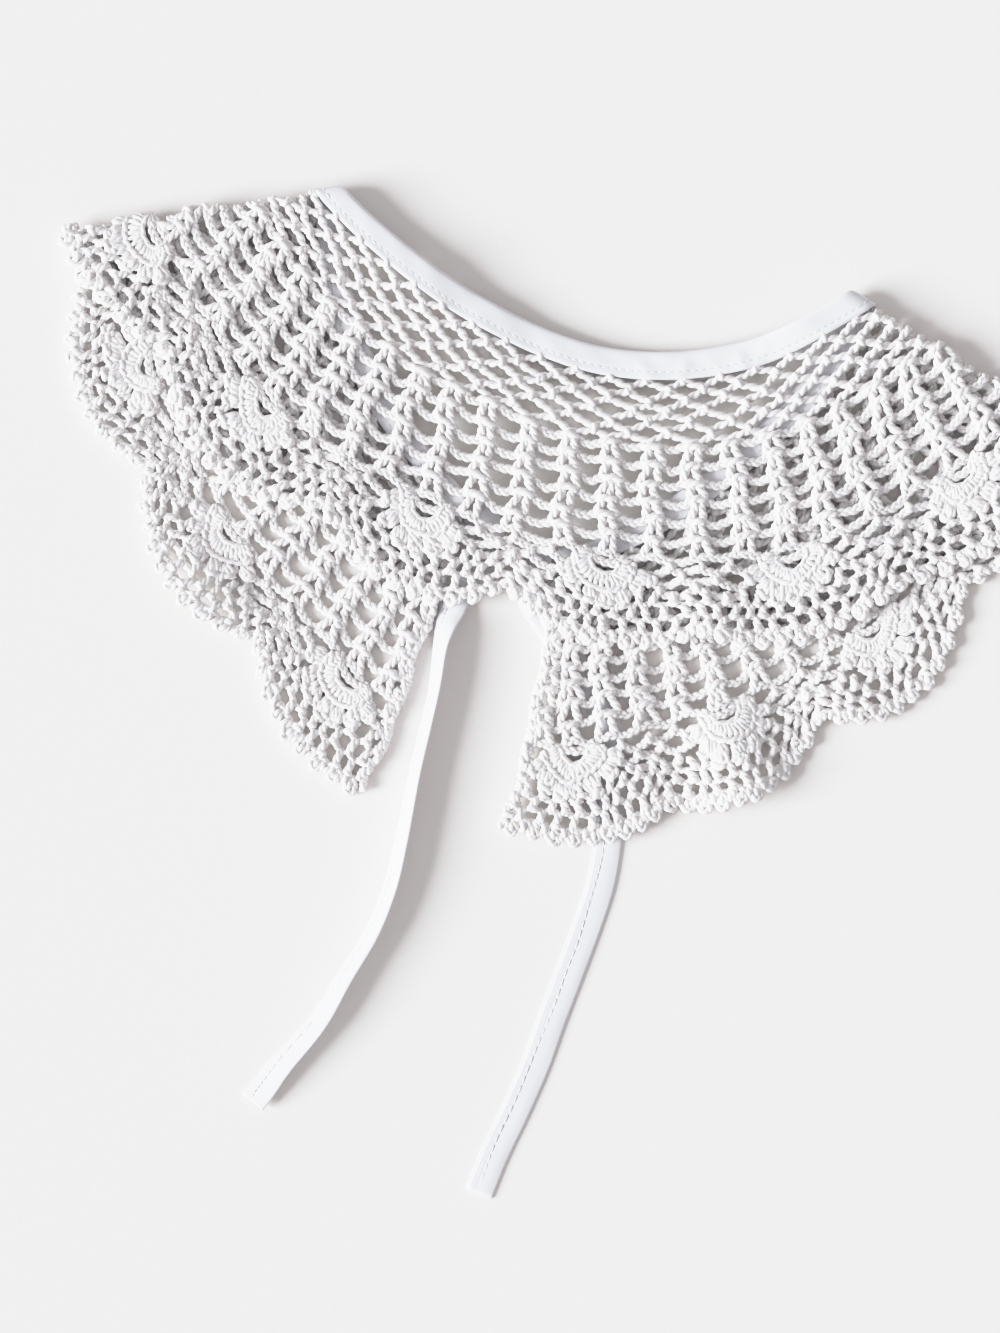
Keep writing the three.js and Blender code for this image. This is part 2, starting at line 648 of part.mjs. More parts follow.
// A tie: flat tape along its route, resting on the table by its lowest edge.
function tie(route) {
  const curve = new THREE.CatmullRomCurve3(route.map(({ x, y, roll }) => new THREE.Vector3(x, y, roll)));
  const sections = [];
  for (let i = 0; i <= TIE_STATIONS; i++) {
    const at = curve.getPoint(i / TIE_STATIONS);
    const ahead = curve.getTangent(i / TIE_STATIONS).setZ(0).normalize();
    const side = new THREE.Vector3(-ahead.y, ahead.x, 0);
    const lean = THREE.MathUtils.degToRad(at.z);
    const up = new THREE.Vector3(0, 0, 1);
    const across = side.clone().multiplyScalar(Math.cos(lean)).addScaledVector(up, Math.sin(lean));
    const through = side.clone().multiplyScalar(-Math.sin(lean)).addScaledVector(up, Math.cos(lean));
    const rise = (TAPE_WIDTH * Math.abs(Math.sin(lean)) + TIE_THICKNESS * Math.cos(lean)) / 2;
    const middle = new THREE.Vector3(at.x, at.y, rise);
    sections.push(
      TIE_CORNERS.map(([a, b]) =>
        middle
          .clone()
          .addScaledVector(across, (a * TAPE_WIDTH) / 2)
          .addScaledVector(through, (b * TIE_THICKNESS) / 2),
      ),
    );
  }
  return loft(sections, TIE_CAP);
}

const cotton = new THREE.MeshStandardMaterial({ color: "#f2f0ec", roughness: 0.95, metalness: 0 });
const tape = new THREE.MeshStandardMaterial({ color: "#f6f8fb", roughness: 0.8, metalness: 0 });

const collar = new THREE.Group();
function add(name, geometry, material) {
  const mesh = new THREE.Mesh(geometry, material);
  mesh.name = name;
  collar.add(mesh);
}

add("back_lace", laceWall(BACK), cotton);
add("left_front_lace", laceWall(LEFT_FRONT), cotton);
add("right_front_lace", laceWall(RIGHT_FRONT), cotton);
add("back_neck_tape", binding(BACK), tape);
add("left_front_neck_tape", binding(LEFT_FRONT), tape);
add("right_front_neck_tape", binding(RIGHT_FRONT), tape);
add("left_tie", tie(LEFT_TIE_ROUTE), tape);
add("right_tie", tie(RIGHT_TIE_ROUTE), tape);
collar.position.set(-MIDDLE.x, -MIDDLE.y, 0);

export default collar;
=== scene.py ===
"""A crochet cape collar laid flat and folded at both shoulders, dressed round its plain solids.

The back lies on top, the two fronts beneath it, and a bias tape binds the neck and runs on as two ties.
Lengths in this file are millimetres and turn to metres where a mesh is made. A place on the lace is given by
three numbers: u counts columns of stitches round the collar, with a fan at every fourth, s is the depth below
the neck edge, and w is the height above the middle of the cloth.
"""

import logging
import math
from dataclasses import dataclass, field
from enum import Enum

import bpy
import numpy as np
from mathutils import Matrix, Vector


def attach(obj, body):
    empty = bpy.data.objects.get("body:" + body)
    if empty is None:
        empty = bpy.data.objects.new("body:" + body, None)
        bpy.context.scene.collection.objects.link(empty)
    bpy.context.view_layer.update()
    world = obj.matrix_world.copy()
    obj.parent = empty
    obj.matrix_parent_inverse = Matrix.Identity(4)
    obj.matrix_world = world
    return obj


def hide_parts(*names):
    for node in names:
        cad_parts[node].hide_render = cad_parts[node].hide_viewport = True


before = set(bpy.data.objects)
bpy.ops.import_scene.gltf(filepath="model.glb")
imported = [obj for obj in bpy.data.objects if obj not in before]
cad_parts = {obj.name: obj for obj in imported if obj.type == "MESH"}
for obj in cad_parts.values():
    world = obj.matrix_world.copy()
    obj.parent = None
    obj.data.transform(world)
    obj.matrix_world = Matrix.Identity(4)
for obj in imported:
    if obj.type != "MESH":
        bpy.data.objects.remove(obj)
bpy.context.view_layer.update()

logging.basicConfig(level=logging.INFO, format="%(message)s")
LOG = logging.getLogger("collar")

MM = 0.001
MIDDLE = np.array([-0.891, -1.048])  # middle of the laid-out collar in the frame of the tables

# The cut of the collar, as its solids have it.
COLLAR_DEPTH = 105.0
NET_END = 34.0
FAN_BASE = 72.0
OPEN_ROWS = 6
FAN_SPACING = 4
TAPE_WIDTH = 10.0
BINDING_THICKNESS = 3.8
TIE_THICKNESS = 1.2
LACE_THICKNESS = 2.2
FOLD_RADIUS = 2.6
FOLD_REACH = FOLD_RADIUS + LACE_THICKNESS / 2
FOLD_FLAT = 12.0  # how far from a fold's roll the cloth keeps the roll's height
FOLD_EASE = 20.0  # how much further it takes to settle to its own height
ROLL_CENTRE = BINDING_THICKNESS / 2 + FOLD_RADIUS
ROLL_SIDE = FOLD_REACH - FOLD_RADIUS * math.pi / 2  # where a roll is halfway round
BACK_HEIGHT = 5.5
FRONT_HEIGHT = LACE_THICKNESS / 2
NECK_EASE_END = 22.0  # how far down from the neck the binding's height still shows
LOWEST_YARN = 0.04  # yarn pressed on the table goes no lower
LOWEST_TAPE = 0.02
CORD_LIFT = 0.7  # the fronts' cords, thicker than the cloth of their solids, lie on the table and not in it

# Column lines of each panel: u, then x and y at the neck edge, at the fan row and at the hem.
BACK_COLUMNS = [
    (-4, -135.5, 234.5, -168.7, 217.0, -198.5, 211.8),
    (0, -104.0, 200.6, -144.2, 159.3, -178.9, 149.1),
    (4, -71.8, 165.6, -106.4, 102.2, -129.2, 75.6),
    (8, -33.6, 137.2, -52.2, 67.6, -61.3, 31.5),
    (12, 11.6, 119.4, 10.2, 48.0, 8.1, 13.3),
    (16, 59.9, 122.2, 73.9, 49.7, 78.4, 14.7),
    (20, 106.0, 145.3, 131.3, 78.4, 152.3, 50.8),
    (24, 148.1, 166.3, 177.8, 120.8, 195.3, 103.3),
]
LEFT_FRONT_COLUMNS = [
    (-13.6, -38.0, 68.0, -61.3, -5.0, -76.0, -42.0),
    (-12, -48.0, 79.8, -78.1, 7.7, -100.5, -22.8),
    (-8, -63.4, 102.2, -118.3, 56.0, -146.7, 37.8),
    (-4, -74.6, 126.0, -146.7, 113.4, -178.2, 106.8),
    (0, -80.9, 152.6, -151.5, 171.9, -181.0, 178.5),
    (4, -84.7, 189.0, -146.0, 231.0, -170.5, 248.5),
]
RIGHT_FRONT_COLUMNS = [
    (16, 106.0, 161.0, 182.8, 168.2, 218.0, 171.5),
    (20, 94.2, 134.8, 167.2, 123.9, 200.6, 119.0),
    (24, 79.1, 109.9, 141.4, 75.3, 169.8, 59.5),
    (28, 59.2, 88.9, 101.4, 25.0, 120.8, -4.2),
    (32, 32.9, 67.6, 50.8, -4.6, 63.0, -39.9),
    (36, 6.0, 52.5, -1.8, -18.2, 4.6, -56.7),
    (37.6, -6.7, 49.7, -18.9, -19.3, -27.0, -51.8),
]
# The notches between the hem's scallops: column, and how much shorter the collar is there.
NOTCHES = [
    (-10, 14), (-6, 14), (-2, 7), (2, 12), (6, 13), (10, 13),
    (14, 6), (18, 5), (22, 6), (26, 14), (30, 14), (34, 6),
]
# Height of the back's neck edge along its columns.
BACK_NECK_HEIGHTS = [
    (0, 7.1), (2.4, 8), (4, 9.5), (6, 8.5), (8, 6), (10, 4),
    (12, 3.2), (14, 3.2), (16, 4), (18, 5.5), (19.4, 7), (22, 7.1),
]
# Ripples: column, half width in columns, height, and the depths over which each rises.
BACK_RIPPLES = [
    (14.2, 1.1, 2.5, 60, 85),
    (11.4, 1.6, 1.3, 48, 66),
    (17.6, 1.2, 1.8, 45, 80),
    (6.2, 1.4, 1.5, 40, 75),
]
LEFT_FRONT_RIPPLES = [(-8.5, 1.6, 4.0, 78, 95)]
RIGHT_FRONT_RIPPLES = [(32.2, 1.5, 6.0, 56, 90), (29.4, 1.1, 2.0, 70, 95)]
# Where the right front lies over its tie: the columns and the depths over which it rises, and how far.
TIE_UNDER_FRONT = (33.4, 34.6, 1.8, 11.0, 19.0)
# Slanted creases of the binding where the neck bends most: column, slant, height.
NECK_CREASES = [
    (12.9, 0.05, 0.3), (14.1, -0.04, 0.35), (14.8, 0.07, 0.3), (15.6, 0.02, 0.4), (16.3, -0.05, 0.25),
]
CREASE_HALF_WIDTH = 0.14  # in columns
# The ties as they lie: x, y and the tape's lean in degrees, from 0 when flat to 90 on its edge.
LEFT_TIE_ROUTE = [
    (-38.5, 63.0, 0), (-33.6, 61.3, 0), (-30.4, 57.4, 0), (-30.0, 51.8, 0),
    (-32.2, 46.6, 0), (-35.6, 41.8, 1), (-38.9, 37.4, 3), (-41.7, 32.8, 8),
    (-44.0, 27.8, 20), (-46.4, 22.0, 40), (-48.1, 13.8, 60), (-49.6, 2.1, 66),
    (-53.1, -13.5, 66), (-56.8, -29.1, 65), (-61.4, -52.5, 62), (-65.2, -68.2, 60),
    (-71.4, -83.8, 58), (-80.9, -99.4, 54), (-90.2, -115.1, 46), (-103.4, -130.6, 34),
    (-109.3, -138.5, 22), (-113.6, -143.9, 14),
]
RIGHT_TIE_ROUTE = [
    (-8.8, 45.0, 0), (-12.8, 45.2, 0), (-16.2, 42.4, 0), (-17.1, 37.3, 0),
    (-15.4, 31.0, 0), (-10.7, 23.5, 0), (-2.6, 12.6, 0), (4.6, 1.8, 0),
    (9.4, -8.8, 0), (12.1, -21.0, 0), (12.4, -35.0, 0), (10.6, -54.3, 0),
    (8.1, -68.3, 0), (3.0, -83.8, 0), (-2.8, -99.4, 0), (-8.8, -115.0, 0),
    (-14.4, -130.6, 0), (-21.2, -146.3, 0), (-28.7, -162.0, 0), (-34.5, -176.1, 0),
]


def ease(x: np.ndarray, low: float, high: float) -> np.ndarray:
    """Smooth step from 0 at low to 1 at high."""
    t = np.clip((x - low) / (high - low), 0, 1)
    return t * t * (3 - 2 * t)


def smooth_along(at: np.ndarray, keys: np.ndarray, values: np.ndarray) -> np.ndarray:
    """A smooth curve through rows of values.

    Args:
        at: where the curve is read.
        keys: the position of each row, rising.
        values: one row of numbers for each key.

    Returns:
        One row of numbers for each place in at.
    """
    last = len(keys) - 1
    k = np.clip(np.searchsorted(keys, at, side="right") - 1, 0, last - 1)
    low = np.maximum(np.arange(last + 1) - 1, 0)
    high = np.minimum(np.arange(last + 1) + 1, last)
    slope = (values[high] - values[low]) / (keys[high] - keys[low])[:, None]
    span = (keys[k + 1] - keys[k])[:, None]
    h = ((at - keys[k])[:, None]) / span
    h2, h3 = h * h, h * h * h
    return (
        (2 * h3 - 3 * h2 + 1) * values[k]
        + (h3 - 2 * h2 + h) * span * slope[k]
        + (3 * h2 - 2 * h3) * values[k + 1]
        + (h3 - h2) * span * slope[k + 1]
    )


def unit(vectors: np.ndarray) -> np.ndarray:
    """Rows of vectors brought to length one."""
    return vectors / np.maximum(np.linalg.norm(vectors, axis=-1, keepdims=True), 1e-9)


class Layer(Enum):
    """Which of the two layers at a fold a panel is."""

    UPPER = 1
    LOWER = -1


@dataclass(frozen=True)
class Fold:
    """A straight fold: the outermost line of its roll, from neck to hem."""

    neck: tuple[float, float]
    hem: tuple[float, float]
    side: int

    def inward(self) -> np.ndarray:
        """The flat unit vector from the fold into the collar."""
        d = np.array(self.hem) - np.array(self.neck)
        return np.array([self.side * d[1], -self.side * d[0]]) / np.hypot(*d)

    def inside(self, xy: np.ndarray) -> np.ndarray:
        """How far flat points lie inside the fold."""
        return (xy - np.array(self.neck)) @ self.inward()


LEFT_FOLD = Fold((-81.2, 175.3), (-181.7, 161.0), -1)
RIGHT_FOLD = Fold((95.6, 139.0), (178.9, 88.6), 1)


@dataclass
class Panel:
    """One panel of the collar as it lies: its columns, its folds and its height above the table."""

    name: str
    columns: list[tuple[float, ...]]
    start: float
    end: float
    folds: list[Fold]
    layer: Layer
    ripples: list[tuple[float, ...]]
    neck_heights: list[tuple[float, float]] = field(default_factory=list)
    over_tie: tuple[float, ...] | None = None
    lift: float = 0.0

    def flat(self, u: np.ndarray, s: np.ndarray) -> np.ndarray:
        """Where places on the panel lie before its folds are rolled.

        Args:
            u: columns.
            s: depths.

        Returns:
            Flat x and y for each place.
        """
        table = np.array(self.columns, float)
        rows = smooth_along(u, table[:, 0], table[:, 1:])
        neck, fan, hem = rows[:, 0:2], rows[:, 2:4], rows[:, 4:6]

        def place(d: np.ndarray) -> np.ndarray:
            """The point at each depth on the curve through neck, fan row and hem."""
            d = d[:, None]
            return (
                neck * (d - FAN_BASE) * (d - COLLAR_DEPTH) / (FAN_BASE * COLLAR_DEPTH)
                + fan * d * (d - COLLAR_DEPTH) / (FAN_BASE * (FAN_BASE - COLLAR_DEPTH))
                + hem * d * (d - FAN_BASE) / (COLLAR_DEPTH * (COLLAR_DEPTH - FAN_BASE))
            )

        scale = np.linalg.norm(place(np.ones_like(s)) - neck, axis=1)
        bound = TAPE_WIDTH / scale
        share = (s - TAPE_WIDTH) / (FAN_BASE - TAPE_WIDTH)
        above = bound + (FAN_BASE - bound) * share
        below = s - self.notch(u) * (s - FAN_BASE) / (COLLAR_DEPTH - FAN_BASE)
        depth = np.where(s < TAPE_WIDTH, s / scale, np.where(s < FAN_BASE, above, below))
        return place(depth)

    @staticmethod
    def notch(u: np.ndarray) -> np.ndarray:
        """How much shorter the collar is at each column than at a fan."""
        drop = np.zeros(u.shape)
        for column, depth in NOTCHES:
            drop += depth * np.clip(1 - np.abs(u - column) / (FAN_SPACING / 2), 0, 1) ** 2
        return drop

    def height(self, u: np.ndarray, s: np.ndarray) -> np.ndarray:
        """Height of the cloth's middle above the table, away from the folds."""
        settle = ease(s, TAPE_WIDTH, NECK_EASE_END)
        if self.layer is Layer.UPPER:
            keys = np.array(self.neck_heights, float)
            k = np.clip(np.searchsorted(keys[:, 0], u, side="right") - 1, 0, len(keys) - 2)
            t = np.clip((u - keys[k, 0]) / (keys[k + 1, 0] - keys[k, 0]), 0, 1)
            neck = keys[k, 1] + (keys[k + 1, 1] - keys[k, 1]) * t * t * (3 - 2 * t)
            high = neck + (BACK_HEIGHT - neck) * settle
        else:
            high = BINDING_THICKNESS / 2 + (FRONT_HEIGHT - BINDING_THICKNESS / 2) * settle
        for column, half, rise, start, full in self.ripples:
            off = np.abs(u - column) / half
            crest = np.where(off < 1, 0.5 + 0.5 * np.cos(np.pi * np.minimum(off, 1)), 0)
            high = high + rise * crest * ease(s, start, full)
        if self.over_tie:
            start, full, rise, top, below = self.over_tie
            high = high + rise * ease(u, start, full) * ease(s, top, below)
        return high

    def place(self, usw: np.ndarray) -> np.ndarray:
        """Where places on the panel lie once it is folded.

        Args:
            usw: rows of column, depth and height above the cloth's middle.

        Returns:
            Rows of x, y and z in the part's own frame, in millimetres.
        """
        u, s, w = usw[:, 0], usw[:, 1], usw[:, 2]
        flat = self.flat(u, s)
        xy = flat.copy()
        z = self.height(u, s)
        way = self.layer.value
        depths = [fold.inside(flat) for fold in self.folds]
        for inside in depths:
            at_fold = ROLL_CENTRE + way * FOLD_RADIUS
            z = at_fold + (z - at_fold) * ease(inside - FOLD_REACH, FOLD_FLAT, FOLD_FLAT + FOLD_EASE)
        z = z + w
        for fold, inside in zip(self.folds, depths):
            angle = np.maximum(FOLD_REACH - inside, 0) / FOLD_RADIUS
            radius = FOLD_RADIUS + way * w
            shift = np.where(inside < FOLD_REACH, FOLD_REACH - radius * np.sin(angle) - inside, 0)
            xy += shift[:, None] * fold.inward()
            z = np.where(inside < FOLD_REACH, ROLL_CENTRE + way * radius * np.cos(angle), z)
        return np.column_stack([xy - MIDDLE, z])

    def within(self, usw: np.ndarray) -> np.ndarray:
        """Which places lie on this panel's side of its folds."""
        flat = self.flat(usw[:, 0], usw[:, 1])
        kept = np.ones(len(flat), bool)
        for fold in self.folds:
            kept &= fold.inside(flat) >= ROLL_SIDE
        return kept

    def column_width(self, u: np.ndarray, s: np.ndarray) -> np.ndarray:
        """How many millimetres one column is wide at each place."""
        step = 0.05
        ahead, behind = self.flat(u + step, s), self.flat(u - step, s)
        return np.linalg.norm(ahead - behind, axis=1) / (2 * step)

    def edge_column(self, fold: Fold, s: np.ndarray) -> np.ndarray:
        """The column at which each depth reaches the side of a fold's roll."""
        middle = (self.start + self.end) / 2
        ends = np.array([self.start, self.end], float)
        first = fold.inside(self.flat(ends, np.zeros(2)))
        outer = np.full_like(s, ends[int(np.argmin(first))])
        inner = np.full_like(s, middle)
        for _ in range(30):
            half = (outer + inner) / 2
            out = fold.inside(self.flat(half, s)) < ROLL_SIDE
            outer, inner = np.where(out, half, outer), np.where(out, inner, half)
        return (outer + inner) / 2


BACK = Panel(
    "back", BACK_COLUMNS, -4, 24, [LEFT_FOLD, RIGHT_FOLD], Layer.UPPER, BACK_RIPPLES, BACK_NECK_HEIGHTS
)
LEFT_FRONT = Panel(
    "left_front", LEFT_FRONT_COLUMNS, -13.6, 4, [LEFT_FOLD], Layer.LOWER, LEFT_FRONT_RIPPLES, lift=CORD_LIFT
)
RIGHT_FRONT = Panel(
    "right_front",
    RIGHT_FRONT_COLUMNS,
    16,
    37.6,
    [RIGHT_FOLD],
    Layer.LOWER,
    RIGHT_FRONT_RIPPLES,
    over_tie=TIE_UNDER_FRONT,
    lift=CORD_LIFT,
)


def linear(hex_colour: str) -> tuple[float, float, float, float]:
    """A colour written as an sRGB hex value, turned to linear."""
    channels = [int(hex_colour[i : i + 2], 16) / 255 for i in (1, 3, 5)]
    turned = [c / 12.92 if c <= 0.04045 else ((c + 0.055) / 1.055) ** 2.4 for c in channels]
    return (*turned, 1.0)


def add_node(
    tree: bpy.types.NodeTree,
    kind: str,
    inputs: dict | None = None,
    links: dict | None = None,
    **settings: object,
) -> bpy.types.Node:
    """Adds a shader node with its settings and links.

    Args:
        tree: the tree that the node goes into.
        kind: the node's type name.
        inputs: values for its sockets.
        links: for a socket's name, the output that feeds it.
        **settings: the node's own properties.

    Returns:
        The new node.
    """
    made = tree.nodes.new(kind)
    for name, value in settings.items():
        setattr(made, name, value)
    for name, value in (inputs or {}).items():
        made.inputs[name].default_value = value
    for name, output in (links or {}).items():
        tree.links.new(output, made.inputs[name])
    return made


@dataclass(frozen=True)
class ClothFinish:
    """A matt surface: its colour, its sheen, and a fine relief whose grain and height are in millimetres."""

    name: str
    colour: str
    roughness: float
    sheen: float
    grain: float
    relief: float

    def material(self) -> bpy.types.Material:
        """The finish as a material, made once."""
        made = bpy.data.materials.get(self.name)
        if made:
            return made
        made = bpy.data.materials.new(self.name)
        made.use_nodes = True
        tree = made.node_tree
        tree.nodes.clear()
        place = add_node(tree, "ShaderNodeTexCoord")
        fibres = add_node(
            tree,
            "ShaderNodeTexNoise",
            {"Scale": 1 / (self.grain * MM), "Detail": 2.0, "Roughness": 0.6},
            {"Vector": place.outputs["Object"]},
        )
        bump = add_node(
            tree,
            "ShaderNodeBump",
            {"Strength": 0.6, "Distance": self.relief * MM},
            {"Height": fibres.outputs["Fac"]},
        )
        shader = add_node(
            tree,
            "ShaderNodeBsdfPrincipled",
            {
                "Base Color": linear(self.colour),
                "Roughness": self.roughness,
                "IOR": 1.45,
                "Specular IOR Level": 0.25,
                "Sheen Weight": self.sheen,
                "Sheen Roughness": 0.6,
            },
            {"Normal": bump.outputs["Normal"]},
        )
        add_node(tree, "ShaderNodeOutputMaterial", links={"Surface": shader.outputs["BSDF"]})
        return made


# Spun and plied cotton, crocheted: loose fibres make it matt and a little warm. Real fibres are far too fine to
# show, so their grain is drawn much coarser, at 0.7 mm.
COTTON_YARN = ClothFinish("cotton_yarn_plied", "#f5f1ef", 0.9, 0.12, 0.7, 0.08)
# Woven cotton cut on the bias and pressed: a close flat weave, smoother and a little cooler than the yarn. Its
# grain is drawn coarser than the real weave, at 0.5 mm.
BIAS_COTTON = ClothFinish("bias_cotton_woven", "#eeecee", 0.8, 0.05, 0.5, 0.04)
# Spun polyester sewing thread: slightly lighter than the tape, with a slight shine.
SEWING_THREAD = ClothFinish("sewing_thread_polyester", "#f0f0f0", 0.6, 0.0, 0.4, 0.02)
# Painted board, rolled: smooth and matt, so it only carries the shadows. Its cream reads as neutral under the
# cool light.
PAINTED_BOARD = ClothFinish("painted_board_rolled", "#f5f0eb", 0.75, 0.0, 3.0, 0.01)


def object_from(name: str, points: np.ndarray, triangles: np.ndarray) -> bpy.types.Object:
    """A smooth mesh object from points in millimetres and rows of three indices."""
    mesh = bpy.data.meshes.new(name)
    mesh.vertices.add(len(points))
    mesh.vertices.foreach_set("co", (points * MM).astype(np.float32).ravel())
    mesh.loops.add(triangles.size)
    mesh.loops.foreach_set("vertex_index", triangles.astype(np.int32).ravel())
    mesh.polygons.add(len(triangles))
    mesh.polygons.foreach_set("loop_start", np.arange(0, triangles.size, 3, dtype=np.int32))
    mesh.polygons.foreach_set("use_smooth", np.ones(len(triangles), bool))
    mesh.update(calc_edges=True)
    mesh.validate()
    made = bpy.data.objects.new(name, mesh)
    bpy.context.scene.collection.objects.link(made)
    return made


@dataclass(frozen=True)
class Gauge:
    """How a cord of yarn is built up: its strands, how they lie round its middle, and how fine its mesh is.

    The strands wind round the middle at the distance spread, one turn in every twist. In a plaited cord they
    cross over it from side to side instead, as the loops of a crochet chain do.
    """

    strands: int
    strand_radius: float
    spread: float
    twist: float
    sides: int = 5
    step: float = 0.8
    plaited: bool = False


PLAIT_LIFT = 0.45  # how high a plaited strand rises as it crosses, against how far it sways
STRAND_END = 0.72  # how thick a strand is at its two ends, against its middle
UPWARD_STEP = 0.5  # how far above a place the cloth's upward direction is read

CHAIN = Gauge(strands=3, strand_radius=0.95, spread=0.82, twist=8.4, sides=4, step=0.95, plaited=True)
NET_CHAIN = Gauge(strands=2, strand_radius=1.05, spread=0.55, twist=7.5, step=1.0)
POST = Gauge(strands=3, strand_radius=0.98, spread=0.68, twist=8.0, sides=5, step=1.0)
MESH_CHAIN = Gauge(strands=2, strand_radius=1.05, spread=0.42, twist=6.0, step=1.0)
FAN_RIB = Gauge(strands=2, strand_radius=0.92, spread=0.3, twist=7.0, step=1.0)
PUFF = Gauge(strands=2, strand_radius=1.0, spread=0.45, twist=7.5, step=1.05)
KNOT = Gauge(strands=2, strand_radius=1.15, spread=0.5, twist=7.0, step=0.9)
THREAD = Gauge(strands=1, strand_radius=0.16, spread=0.0, twist=5.0, sides=4, step=0.7)


class Cordage:
    """Lengths of cord laid along paths on one panel, gathered into one mesh."""

    def __init__(self, panel: Panel, seed: int) -> None:
        """Starts an empty gathering for a panel."""
        self.panel = panel
        self.draw = np.random.default_rng(seed)
        self.paths: list[tuple[Gauge, np.ndarray]] = []

    def lay(self, gauge: Gauge, path: list[tuple[float, float, float]] | np.ndarray) -> None:
        """Adds one cord along a path of column, depth and height."""
        self.paths.append((gauge, np.asarray(path, float)))

    def sampled(self, gauge: Gauge, path: np.ndarray) -> list[np.ndarray]:
        """A path as evenly spaced places, in the runs that lie on this panel's side of its folds."""
        wide = self.panel.column_width(path[:, 0], path[:, 1])
        d = np.diff(path, axis=0)
        d[:, 0] *= (wide[1:] + wide[:-1]) / 2
        reach = np.concatenate([[0], np.cumsum(np.maximum(np.linalg.norm(d, axis=1), 1e-4))])
        count = max(3, int(math.ceil(reach[-1] / gauge.step)) + 1)
        places = smooth_along(np.linspace(0, reach[-1], count), reach, path)
        kept = self.panel.within(places)
        if kept.all():
            return [places]
        edges = np.flatnonzero(np.diff(np.concatenate([[0], kept.astype(int), [0]])))
        return [places[a:b] for a, b in zip(edges[::2], edges[1::2]) if b - a > 2]

    def mesh(self, name: str) -> bpy.types.Object:
        """All the cords as one object.

        Args:
            name: the piece's name.

        Returns:
            The object, with no material yet.
        """
        points: list[np.ndarray] = []
        faces: list[np.ndarray] = []
        offset = 0
        for gauge in dict.fromkeys(g for g, _ in self.paths):
            runs = [run for g, path in self.paths if g is gauge for run in self.sampled(g, path)]
            if not runs:
                continue
            made, turned = self.tubes(gauge, runs)
            points.append(made)
            faces.append(turned + offset)
            offset += len(made)
        return object_from(name, np.concatenate(points), np.concatenate(faces))

    def tubes(self, gauge: Gauge, runs: list[np.ndarray]) -> tuple[np.ndarray, np.ndarray]:
        """Closed strands along runs of places.

        Args:
            gauge: how the cord is built.
            runs: the places that each cord follows.

        Returns:
            Points in millimetres and triangles.
        """
        lengths = np.array([len(run) for run in runs])
        usw = hand_tension(np.concatenate(runs))
        usw[:, 2] += self.panel.lift * ease(usw[:, 1], TAPE_WIDTH, NECK_EASE_END)
        total = len(usw)
        first = np.repeat(np.cumsum(lengths) - lengths, lengths)
        last = first + np.repeat(lengths, lengths) - 1
        index = np.arange(total)
        centre = self.panel.place(usw)
        lifted = self.panel.place(usw + np.array([0, 0, UPWARD_STEP]))
        ahead = unit(centre[np.minimum(index + 1, last)] - centre[np.maximum(index - 1, first)])
        side = unit(np.cross(ahead, lifted - centre))
        up = np.cross(side, ahead)
        steps = np.linalg.norm(centre - centre[np.maximum(index - 1, first)], axis=1)
        walked = np.cumsum(steps)
        walked -= walked[first]
        ends = (index == first) | (index == last)
        thick = np.where(ends, STRAND_END, 1.0) * gauge.strand_radius
        start = np.repeat(self.draw.uniform(0, 2 * np.pi, len(runs)), lengths)
        n = gauge.sides
        round_angles = 2 * np.pi * np.arange(n) / n
        points, faces = [], []
        for strand in range(gauge.strands):
            turn = start + 2 * np.pi * (walked / gauge.twist + strand / gauge.strands)
            if gauge.plaited:
                sway, lift = np.sin(turn), PLAIT_LIFT * np.sin(2 * turn)
            else:
                sway, lift = np.cos(turn), np.sin(turn)
            off = gauge.spread * (sway[:, None] * side + lift[:, None] * up)
            ring = (
                (centre + off)[:, None, :]
                + thick[:, None, None]
                * (
                    np.cos(round_angles)[None, :, None] * side[:, None, :]
                    + np.sin(round_angles)[None, :, None] * up[:, None, :]
                )
            ).reshape(-1, 3)
            base = strand * total * n
            here = index[index != last]
            j = np.arange(n)
            k = (j + 1) % n
            a = base + here[:, None] * n + j
            b = base + here[:, None] * n + k
            c, d = a + n, b + n
            faces.append(np.stack([a, c, b], -1).reshape(-1, 3))
            faces.append(np.stack([b, c, d], -1).reshape(-1, 3))
            fan = np.arange(1, n - 1)
            for ring_at, flip in ((np.unique(first), False), (np.unique(last), True)):
                root = base + ring_at[:, None] * n
                one, two = root + fan, root + fan + 1
                root = np.broadcast_to(root, one.shape)
                order = [root, two, one] if flip else [root, one, two]
                faces.append(np.stack(order, -1).reshape(-1, 3))
            points.append(ring)
        made = np.concatenate(points)
        made[:, 2] = np.maximum(made[:, 2], LOWEST_YARN)
        return made, np.concatenate(faces)


def hand_tension(usw: np.ndarray) -> np.ndarray:
    """Shifts places a little, as work made by hand does, the same for every cord that passes there."""
    u, s, w = usw[:, 0], usw[:, 1], usw[:, 2]
    inner = ease(s, TAPE_WIDTH, TAPE_WIDTH + 6) * (1 - ease(s, COLLAR_DEPTH - 8, COLLAR_DEPTH))
    du = 0.055 * np.sin(2.1 * u + 0.31 * s) + 0.04 * np.sin(5.3 * u - 0.17 * s + 1.3)
    ds = 0.45 * np.sin(1.7 * u + 0.23 * s + 0.6) + 0.4 * np.sin(4.1 * u - 0.41 * s)
    dw = 0.2 * np.sin(3.3 * u + 0.37 * s) + 0.12 * np.sin(7.9 * u - 0.6 * s)
    return np.column_stack([u + inner * du, s + inner * ds, w + inner * dw])


